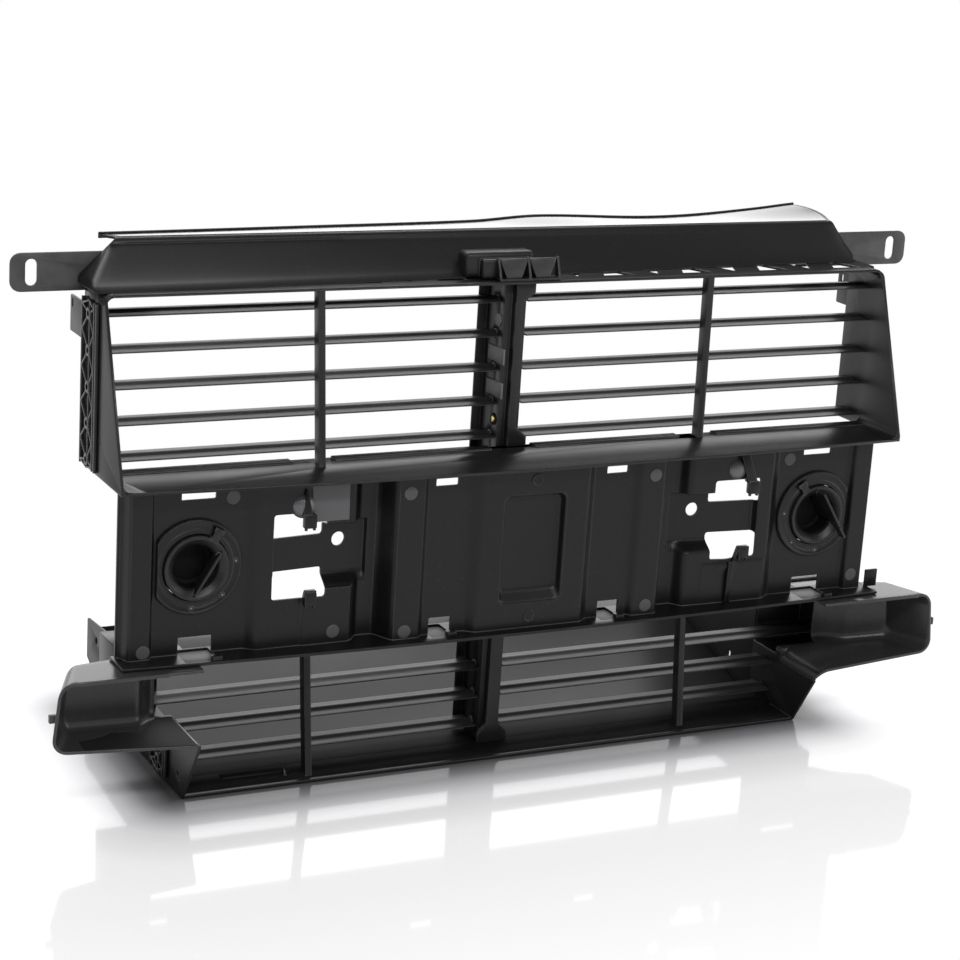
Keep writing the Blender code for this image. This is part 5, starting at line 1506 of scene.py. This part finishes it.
def bar_at(center, turn, along, across, depth, radius=0.0006):
    """A bar drawn level beside a centre, then turned about it."""
    shape = soft_box((center[0] + along[0], depth[0], center[1] + across[0]),
                     (center[0] + along[1], depth[1], center[1] + across[1]), radius)
    bmesh.ops.rotate(shape, cent=(center[0], 0.0, center[1]), matrix=Matrix.Rotation(-turn, 3, "Y"),
                     verts=shape.verts)
    return shape


def cup_shape(center, front, floor, rear):
    """A coned rim round a deep bore."""
    return turned([(0.0, rear), (CAP_RADIUS - 0.001, rear), (CAP_RADIUS, rear - 0.001),
                   (CAP_RADIUS, front + 0.0016), (CAP_RADIUS - 0.0005, front + 0.0005),
                   (CAP_RADIUS - 0.0016, front), (CAP_RADIUS - 0.0026, front),
                   (CAP_RADIUS - 0.0036, front + 0.0006), (BORE_RADIUS + 0.0014, front + 0.0042),
                   (BORE_RADIUS + 0.0003, front + 0.0052), (BORE_RADIUS, front + 0.0068),
                   (BORE_RADIUS, floor - 0.002), (BORE_RADIUS - 0.002, floor), (0.0, floor)], center)


def bore_shade_liner(center, front, floor):
    """A dark lining of painted shade inside the bore."""
    bore = BORE_RADIUS - BORE_GAP
    return turned([(0.0, floor - 0.0006), (bore - 0.0022, floor - 0.0006), (bore, floor - 0.0024),
                   (bore, front + 0.0074), (bore + 0.0006, front + 0.0074), (bore + 0.0006, floor + 0.0002),
                   (0.0, floor + 0.0002)], center)


# %% [markdown]
# Twist caps, put together
#
# The two caps stand at different turns and their fins differ, so one function takes the side and works out
# the rest. Everything on a cap rides on its body, so it turns with the joint.

# %% Twist caps, put together


def twist_cap(side_name, side):
    """Cup, fin, shallow floor, pointer, and two bright steel studs that paint spots of light."""
    node = side_name + "_twist_cap"
    low, high = box_of(node)
    center = (side * DIAL[0], DIAL[1])
    front = low.y + CAP_LIP
    floor = high.y - CAP_FLOOR
    turn = -side * FIN_TURN
    half = math.sqrt(BORE_RADIUS ** 2 - FIN_OFFSET ** 2) + 0.005
    across = (side * FIN_OFFSET - FIN_HALF, side * FIN_OFFSET + FIN_HALF)
    outer = across[0] if side < 0 else across[1]
    parts = [cup_shape(center, front, floor, high.y)]
    shelf = sorted((outer, outer + side * SHELF_WIDTH))
    parts.append(bar_at(center, turn, (-half + 0.008, half - 0.008), shelf,
                        (front + 0.010, front + 0.013), 0.0005))
    fin_depth = (front - 0.002, front + 0.013) if side < 0 else (low.y, floor)
    parts.append(bar_at(center, turn, (-half, half), across, fin_depth, 0.0007))
    if side > 0:
        parts.append(bar_at(center, turn, (half - 0.004, half + 0.013), across,
                            (low.y, front - 0.0008), 0.0008))
    pointer_turn = FIN_TURN if side < 0 else math.pi - FIN_TURN
    parts.append(bar_at(center, pointer_turn, (0.0295, 0.0425), (-0.0042, 0.0042),
                        (front - 0.0004, front + 0.0034), 0.0009))
    parts.append(bar_at(center, pointer_turn, (0.0385, 0.0430), (-0.0055, 0.0055),
                        (front + 0.0004, front + 0.0034), 0.0007))
    # The bore's lining is painted shade.
    hand_over(side_name + "_cap_bore_shade", bore_shade_liner(center, front, floor), SHADE_BLACK, body=body_of[node])
    hand_over(side_name + "_cap_cup", joined(parts), FRAME_BLACK, [node], body_of[node])
    # Two bright steel studs on the shallow floor paint two small spots of light.
    bright_spot_studs = []
    for along in (-0.004, 0.006):
        spot = Matrix.Rotation(turn, 2) @ Vector((along, outer + side * BRIGHT_SPOT_OFFSET))
        bright_spot_studs.append(turned([(radius, front + depth) for radius, depth in BRIGHT_SPOT_PROFILE],
                           (center[0] + spot.x, center[1] + spot.y), 20))
    hand_over(side_name + "_cap_bright_spot_studs", joined(bright_spot_studs), SCREW_STEEL, body=body_of[node])


# %% [markdown]
# Rings round the caps
#
# A ring is a turned profile with one side pushed flat. Its stops are tiny turned shapes, each with a
# bright steel dot that paints its highlight, and a thin rib bends from one stop to the next.

# %% Rings round the caps
RING_GAP = 0.0007
STOP_RADIUS = 0.0400
STOP_TURNS = (5.0, -47.0, -95.0)
STOP_PROFILE = ((0.0, 0.0006), (0.0009, 0.0004), (0.0012, 0.0), (0.0020, -0.0001), (0.0026, 0.0008),
                (0.0, 0.0012))
GLINT_DOT_PROFILE = ((0.0, -0.0003), (0.0007, -0.0001), (0.0009, 0.0008), (0.0, 0.0009))
RIB_SECTION = ((-0.0005, 0.0009), (-0.0003, 0.0001), (0.0003, 0.0001), (0.0005, 0.0009))
RIB_STEPS = 24


def on_ring(center, turn, reach):
    """A place on the ring, seen from the front."""
    return (center[0] + reach * math.cos(turn), center[1] + reach * math.sin(turn))


def stop_rib(center, side, level):
    """A thin bent rib between two stops."""
    columns = []
    for step in range(RIB_STEPS + 1):
        turn = math.radians(between(STOP_TURNS[1], STOP_TURNS[2], step / RIB_STEPS))
        turn = turn if side < 0 else math.pi - turn
        spots = [(on_ring(center, turn, STOP_RADIUS + aside), level + depth) for aside, depth in RIB_SECTION]
        columns.append([(x, depth, z) for (x, z), depth in spots])
    rib = sheet(columns)
    bmesh.ops.recalc_face_normals(rib, faces=rib.faces)
    return thick(rib, 0.0003)


def cap_ring(side_name, side):
    """A flat ring with a stepped face, a flat side and shallow stops."""
    node = side_name + "_cap_ring"
    low, high = box_of(node)
    center = (side * DIAL[0], DIAL[1])
    outer = (high.z - low.z) / 2
    inner = CAP_RADIUS + RING_GAP
    ring = turned([(inner, high.y), (inner, low.y + 0.0008), (inner + 0.0008, low.y),
                   (inner + 0.0045, low.y), (inner + 0.0052, low.y + 0.0006),
                   (outer - 0.0035, low.y + 0.0006),
                   (outer - 0.0028, low.y + 0.0001), (outer - 0.0010, low.y + 0.0004),
                   (outer, low.y + 0.0016), (outer, high.y), (inner, high.y)], center, 96)
    limit = high.x if side > 0 else -low.x
    for corner in ring.verts:
        corner.co.x = math.copysign(min(abs(corner.co.x), limit), corner.co.x)
    parts = [ring]
    glint_dots = []
    for degrees in STOP_TURNS:
        spot = on_ring(center, math.radians(degrees if side < 0 else 180.0 - degrees), STOP_RADIUS)
        parts.append(turned([(radius, low.y + depth) for radius, depth in STOP_PROFILE], spot, 24))
        # Each stop's bright steel dot is a painted highlight.
        glint_dots.append(turned([(radius, low.y + depth) for radius, depth in GLINT_DOT_PROFILE], spot, 16))
    hand_over(side_name + "_ring_glint_dots", joined(glint_dots), SCREW_STEEL)
    parts.append(stop_rib(center, side, low.y))
    hand_over(side_name + "_cap_ring_face", joined(parts), PANEL_BLACK, [node])


for side_name, side in SIDES:
    twist_cap(side_name, side)
    cap_ring(side_name, side)
print("caps made")

# %% [markdown]
# Section of a scoop
#
# A scoop is an open fronted pocket with soft corners everywhere. Seen from the side it is a C: floor, back
# and top with fillets between. That section is carried outwards while its back comes forward. The two
# scoops turn at different places, so the bend is an input. Near the opening the floor can drop, to flow
# into the wall there.

# %% Section of a scoop
SCOOP_WALL = 0.0028
SCOOP_FILLET = 0.008
SCOOP_TOP_FILLET = 0.007
SCOOP_RISE = 0.010
SCOOP_BACK = (0.024, 0.012)
FLOW_SLANT = 0.64


def scoop_section(x, inset, low, high, bends, drop=0.0):
    """Depth and height pairs round the C at one place; an inset draws it in, a drop lowers its floor."""
    bend = ease((x - bends[0]) / (bends[1] - bends[0]))
    plain = between(*SCOOP_BACK, (x - bends[1]) / (high.x - bends[1]))
    back = between(high.y - SCOOP_WALL, plain, bend)
    share = (x - low.x) / (high.x - low.x)
    floor = between(low.z + SCOOP_WALL, low.z + SCOOP_WALL + SCOOP_RISE, share) + inset - drop
    front = low.y + drop * FLOW_SLANT
    top = high.z - SCOOP_WALL - inset
    wide, small = SCOOP_FILLET, SCOOP_TOP_FILLET
    points = [(between(front, back - wide, step / 8), floor) for step in range(8)]
    points += [(back - wide + wide * sine, floor + wide - wide * cosine) for sine, cosine in quarter(8)]
    points += [(back, between(floor + wide, top - small, step / 6)) for step in range(1, 6)]
    points += [(back - small + small * cosine, top - small + small * sine) for sine, cosine in quarter(8)]
    points += [(between(back - small, low.y, step / 8), top) for step in range(1, 9)]
    return points


# %% [markdown]
# Scoops
#
# The sections are sewn into a sheet that closes over a round end, and its inner end stays open at the back.
# Both scoops are drawn on the right, and the left one is mirrored. A rim, a clip and a seat are plain
# boxes.

# %% Scoops
SCOOP_END_ROUND = 0.012
SCOOP_TURN = {-1: (0.368, 0.396), 1: (0.396, 0.436)}
SCOOP_INNER = 0.3487
SCOOP_COLUMNS = 36
FLOW_ROUND = {-1: 0.003, 1: 0.014}
SCOOP_TAPER = 0.022
SCOOP_LEAN = 0.0045


def scoop_places(side, end):
    """Place, inset and drop of every section from the opening to the round end."""
    turns = quarter(8)
    curve = FLOW_ROUND[side]
    flow = SCOOP_INNER + curve
    places = [(flow - curve * cosine, 0.0, curve * (1 - sine)) for sine, cosine in turns]
    places += [(between(flow, end - SCOOP_END_ROUND, step / SCOOP_COLUMNS), 0.0, 0.0)
               for step in range(1, SCOOP_COLUMNS + 1)]
    return places + [(end - SCOOP_END_ROUND * (1 - sine), SCOOP_END_ROUND * (1 - cosine), 0.0)
                     for sine, cosine in turns[1:]]


def scoop(side):
    """One scoop, drawn on the right."""
    low, high = box_of("right_scoop")
    end = high.x - SCOOP_WALL
    bends = SCOOP_TURN[side]
    columns = []
    for x, inset, drop in scoop_places(side, end):
        columns.append([(x, y, z) for y, z in scoop_section(x, inset, low, high, bends, drop)])
    shape = sheet(columns)
    shape.verts.ensure_lookup_table()
    cap = shape.faces.new(shape.verts[-len(columns[-1]):])
    cap.normal_update()
    if cap.normal.x > 0:
        cap.normal_flip()
    rear = [face for face in shape.faces if face.calc_center_median().x < bends[0]
            and face.calc_center_median().y > high.y - SCOOP_WALL - SCOOP_FILLET]
    bmesh.ops.delete(shape, geom=rear, context="FACES")
    for corner in shape.verts:
        out = (corner.co.x - low.x) / (end - low.x)
        deep = min((corner.co.y - low.y) / (SCOOP_BACK[1] - low.y), 1.0)
        rise = 2 * (corner.co.z - low.z) / (high.z - low.z) - 1
        corner.co.x -= SCOOP_TAPER * deep * out * out + SCOOP_LEAN * rise * out ** 4
    body = thick(shape, SCOOP_WALL, 0.0008)
    rim = soft_box((low.x + 0.03, low.y - 0.0016, high.z - 0.0032),
                   (high.x - 0.022, low.y + 0.004, high.z + 0.0004), 0.0009)
    clip = soft_box((high.x - 0.003, low.y + 0.003, low.z + 0.040),
                    (high.x + 0.004, low.y + 0.008, low.z + 0.048), 0.0008)
    seat = soft_box((SCOOP_INNER + 0.001, high.y - 0.0115, low.z - 0.0055),
                    (bends[0] + 0.004, high.y + 0.001, low.z + 0.0026), 0.002)
    return joined([body, rim, clip, seat])


# %% [markdown]
# Painted-shade patch and both scoops
#
# The floor of the left scoop is painted darker and duller than the rest, as painted shade over a reflection.
# A thin patch with its own finish lies on it, which is simpler than giving one mesh two finishes.

# %% Painted-shade patch and both scoops
PATCH_LIFT = 0.0004
PATCH_WALL = 0.0007
PATCH_COLUMNS = 24


def shaded_floor_patch():
    """A dark, dull patch of painted shade on a scoop's floor beside the opening, drawn on the right."""
    low, high = box_of("right_scoop")
    bends = SCOOP_TURN[-1]
    columns = []
    for step in range(PATCH_COLUMNS + 1):
        x = between(SCOOP_INNER + 0.004, high.x - 0.030, step / PATCH_COLUMNS)
        level = low.z + SCOOP_WALL + SCOOP_RISE * (x - low.x) / (high.x - low.x) + PATCH_LIFT
        bend = ease((x - bends[0]) / (bends[1] - bends[0]))
        rear = between(high.y - 0.0105, SCOOP_BACK[1] - 0.0085, bend)
        columns.append([(x, between(low.y + 0.0012, rear, part / 6), level) for part in range(7)])
    return thick(sheet(columns), PATCH_WALL)


hand_over("left_scoop_shade_patch", sided(shaded_floor_patch(), -1), SHADE_PATCH_BLACK)
hand_over("right_scoop_shell", scoop(1), SCOOP_BLACK, ["right_scoop"])
hand_over("left_scoop_shell", sided(scoop(-1), -1), SCOOP_BLACK, ["left_scoop"])
print("scoops made")

# %% [markdown]
# Bearing strips and side brackets
#
# On the outside of each wall a shallow strip carries the vane pins. Every pin has a round boss, and from
# boss to boss three thin ribs run: one straight, two that swing out to the rails. The ribs are short flat
# bars, so one function makes them between any two points. The small bracket behind the upper strip is a
# plate with a slot. The left one reaches further back.

# %% Bearing strips and side brackets
STRIP_FACE = 0.0036
STRIP_FLOOR = 0.0010
STRIP_FOOT = 0.003
STRIP_HEAD = {"upper": 0.011, "lower": 0.001}
RAIL_WIDTH = 0.0020
RIB_WIDTH = 0.0017
RIB_STEP = 0.0006
BOSS_RADIUS = 0.0058
BRACKET_REAR = {-1: 0.0130, 1: 0.0020}


def flat_rib(first, second, low, high, width=RIB_WIDTH):
    """A flat bar between two points of depth and height."""
    along = Vector((second[0] - first[0], second[1] - first[1])).normalized()
    aside = Vector((-along.y, along.x)) * width / 2
    outline = [Vector(first) - aside, Vector(second) - aside, Vector(second) + aside, Vector(first) + aside]
    return slab([tuple(point) for point in outline], "X", low, high, 0.0003)


def bearing_strip(level):
    """Floor and ribs of one strip, drawn on the right."""
    low, high = box_of(level + "_right_bearing_strip")
    rows = sorted({round(middle_of(node).z, 5) for node in nodes
                   if node.startswith(level + "_vane_right") and body_of[node] != WIDE_ROW})
    middle = (low.y + high.y) / 2
    foot, top = low.z + STRIP_FOOT, high.z - STRIP_HEAD[level]
    face = low.x + STRIP_FACE
    plate = soft_box((low.x, low.y, foot), (low.x + STRIP_FLOOR, high.y, top), 0.0003)
    parts = [flat_rib((y, foot), (y, top), low.x, face, RAIL_WIDTH)
             for y in (low.y + 0.001, low.y + 0.007, high.y - 0.001)]
    ends = [foot] + rows + [top]
    for lower, upper in zip(ends, ends[1:]):
        waist = (lower + upper) / 2
        parts.append(flat_rib((middle, lower), (middle, upper), low.x, face - RIB_STEP))
        for y in (low.y + 0.008, high.y - 0.002):
            parts.append(flat_rib((middle, lower), (y, waist), low.x, face))
            parts.append(flat_rib((y, waist), (middle, upper), low.x, face))
    for z in rows:
        parts.append(slab(circle((middle, z), BOSS_RADIUS, 24), "X", low.x, face + RIB_STEP, 0.0006))
    return plate, joined(parts)


def side_bracket(side):
    """A plate with an upright slot, drawn on the right."""
    low, high = box_of("right_side_bracket")
    rear = high.y + BRACKET_REAR[side]
    middle = ((low.y + rear) / 2, (low.z + high.z) / 2 - 0.005)
    outline = rounded_rectangle(middle, (rear - low.y, high.z - low.z), 0.002)
    plate = slab(outline, "X", low.x, high.x, 0.0004)
    hole = rounded_rectangle((rear - 0.007, high.z - 0.012), (0.005, 0.009), 0.0024)
    return cut_out(plate, [slab(hole, "X", low.x - OVERSHOOT, high.x + OVERSHOOT)])


for side_name, side in SIDES:
    for level in ("upper", "lower"):
        plate, ribs = bearing_strip(level)
        node = level + "_" + side_name + "_bearing_strip"
        hand_over(node + "_ribs", sided(ribs, side), SCOOP_BLACK, [node])
        # The strip's floor is dark as painted shade between the ribs.
        hand_over(node + "_floor", sided(plate, side), SHADE_BLACK)
    hand_over(side_name + "_side_bracket_plate", sided(side_bracket(side), side), STRAP_STEEL,
              [side_name + "_side_bracket"])
print("strips made")

# %% [markdown]
# Drive details
#
# On the left cheek of the drive, pale toothed plates and a hub show between the vanes. They are flat pieces
# with a serrated rim, made by one function, and they stay inside the small gap between the cheek and the
# vane ends. The stop pin gets a round head and a dark ring of painted shade.

# %% Drive details
CHEEK_FACE = -0.0120
PLATE_FRONT = -0.0134
PLATE_SINK = 0.0004
PLATE_DEPTH = (-0.024, 0.010)
PLATE_HALF = 0.0080
TOOTH_DEPTH = 0.0018
TEETH = 9
HUB_RADIUS = 0.0075
HUB_FORWARD = 0.006
GAP_DROP = 0.003
HEAD_RADIUS = 0.0034
RING_RADIUS = 0.0062


def toothed_plate(low, high):
    """A flat plate with teeth along its upper edge, lying on the cheek."""
    outline = [low, (high[0], low[1])]
    for step in range(TEETH * 2, -1, -1):
        notch = TOOTH_DEPTH if step % 2 else 0.0
        outline.append((between(low[0], high[0], step / (TEETH * 2)), high[1] - notch))
    return slab(outline, "X", PLATE_FRONT, CHEEK_FACE + PLATE_SINK, 0.0002)


vane_rows = sorted(middle_of(node).z for node in nodes if node.startswith("upper_vane_left"))
vane_y = middle_of("upper_vane_left_1").y
gaps = [(low + high) / 2 - GAP_DROP for low, high in zip(vane_rows, vane_rows[1:])]
hub = circle((vane_y - HUB_FORWARD, gaps[3]), HUB_RADIUS, 6)
plates = [slab(hub, "X", PLATE_FRONT, CHEEK_FACE + PLATE_SINK, 0.0008)]
for z in gaps[1:3]:
    plates.append(toothed_plate((vane_y + PLATE_DEPTH[0], z - PLATE_HALF),
                                (vane_y + PLATE_DEPTH[1], z + PLATE_HALF)))
hand_over("drive_plates", joined(plates), DRIVE_GREY)
pin = middle_of("stop_pin")
head = slab(circle((pin.y, pin.z), HEAD_RADIUS, 24), "X", PLATE_FRONT - 0.0003, CHEEK_FACE, 0.0006)
hand_over("pin_head", head, PIN_BRASS, ["stop_pin"])
# A dark ring of painted shade round the pin's head.
ring = slab(circle((pin.y, pin.z), RING_RADIUS, 24), "X", PLATE_FRONT + 0.0004, CHEEK_FACE + 0.0002, 0.0003)
hand_over("pin_shade_ring", ring, SHADE_BLACK)
print("drive plates", len(plates))

# %% [markdown]
# Floor
#
# The object stands on a pale sheet that fades to plain white away from it. Close by, the sheet takes its
# shadow, and a painted shadow darkens it where it meets the object's foot. Near the object the white also
# mirrors it faintly. The white shows to the camera, in reflections and through clear things, and gives no
# other light.

# %% Floor
FLOOR_HALF = 60.0
FLOOR_DROP = 0.0005
FOOTPRINT = (0.36, 0.128)
SHADOW_REACH = (0.025, 0.15)
PAINTED_CONTACT_SHADOW_REACH = (0.0, 0.08)
PAINTED_CONTACT_SHADOW_TONES = (0.10, 0.93)
MIRROR_REACH = (0.05, 0.50)
MIRROR_SHARE = 0.22
MIRROR_ROUGHNESS = 0.06


def pale_floor():
    """A pale sheet under the object, plain white for the camera further off."""
    finish = Finish("pale_floor")
    along, across = finish.split(finish.place)[:2]
    beside = (along.of("ABSOLUTE") - FOOTPRINT[0]).or_more(0.0)
    before = (across.of("ABSOLUTE") - FOOTPRINT[1]).or_more(0.0)
    far = (beside * beside + before * before).of("SQRT")
    seen = finish.node("ShaderNodeLightPath", {}, {}, "Is Camera Ray")
    rays = seen.socket.node.outputs
    for kind in ("Is Glossy Ray", "Is Transmission Ray"):
        seen = seen.or_more(Value(finish, rays[kind]))
    away = finish.ramp(far, *SHADOW_REACH) * seen
    # Painted shadow: the sheet's colour darkens close to the object's footprint.
    painted_contact_shadow = finish.tint(finish.ramp(far, *PAINTED_CONTACT_SHADOW_REACH), *[grey(tone) for tone in PAINTED_CONTACT_SHADOW_TONES])
    paper = finish.node("ShaderNodeBsdfPrincipled", {}, {"Base Color": painted_contact_shadow, "Roughness": 0.10,
                                                        "Specular IOR Level": 0.08})
    white = finish.node("ShaderNodeEmission", {}, {})
    mirror = finish.node("ShaderNodeBsdfAnisotropic", {}, {"Roughness": MIRROR_ROUGHNESS})
    share = (1.0 - finish.ramp(far, *MIRROR_REACH)) * MIRROR_SHARE
    polish = finish.node("ShaderNodeMixShader", {}, {0: share, 1: white, 2: mirror})
    blend = finish.node("ShaderNodeMixShader", {}, {0: away, 1: paper, 2: polish})
    finish.node("ShaderNodeOutputMaterial", {}, {"Surface": blend})
    return finish.material


floor_shape = bmesh.new()
bmesh.ops.create_grid(floor_shape, x_segments=1, y_segments=1, size=FLOOR_HALF)
bmesh.ops.translate(floor_shape, vec=(0.0, 0.0, -FLOOR_DROP), verts=floor_shape.verts)
floor = to_object(floor_shape, "floor")
floor.data.materials.append(pale_floor())
print("floor", 2 * FLOOR_HALF, "m")

# %% [markdown]
# Light
#
# A dim panel far behind gives every upper face its sheen. A strip overhead draws thin lights along fillets
# and edges and leaves a close shadow, and a thin strip in front does the same for the front edges. Two weak
# boxes at the sides shape the ends. The room itself is dim, so that the front stays dark.

# %% Light
SKY_STRENGTH = 0.42


def soft_light(name, place, aim, size, watts):
    """A softbox that faces a point and stays out of the picture itself."""
    data = bpy.data.lights.new(name, "AREA")
    data.shape = "RECTANGLE"
    data.size, data.size_y = size
    data.energy = watts
    lamp = bpy.data.objects.new(name, data)
    bpy.context.scene.collection.objects.link(lamp)
    lamp.location = place
    lamp.rotation_euler = (Vector(aim) - Vector(place)).to_track_quat("-Z", "Y").to_euler()
    lamp.visible_camera = False


soft_light("back_panel", (1.0, 3.2, 1.35), (0.0, 0.0, 0.30), (4.2, 1.7), 45.0)
soft_light("overhead_strip", (0.0, 1.0, 2.2), (0.0, 0.0, 0.2), (2.6, 0.5), 32.0)
soft_light("front_strip", (-0.2, -2.1, 1.95), (0.0, 0.0, 0.2), (2.4, 0.25), 26.0)
soft_light("right_strip", (2.4, -1.3, 0.9), (0.0, 0.0, 0.25), (0.5, 1.4), 8.0)
soft_light("left_back", (-2.6, 1.6, 1.2), (0.0, 0.0, 0.25), (1.6, 1.4), 5.0)
world = bpy.data.worlds.new("studio")
world.use_nodes = True
bpy.context.scene.world = world
sky = world.node_tree.nodes["Background"]
sky.inputs["Color"].default_value = (1.0, 1.0, 1.0, 1.0)
sky.inputs["Strength"].default_value = SKY_STRENGTH
bpy.context.scene.view_settings.view_transform = "Standard"
print("lamps", len(bpy.data.lights))
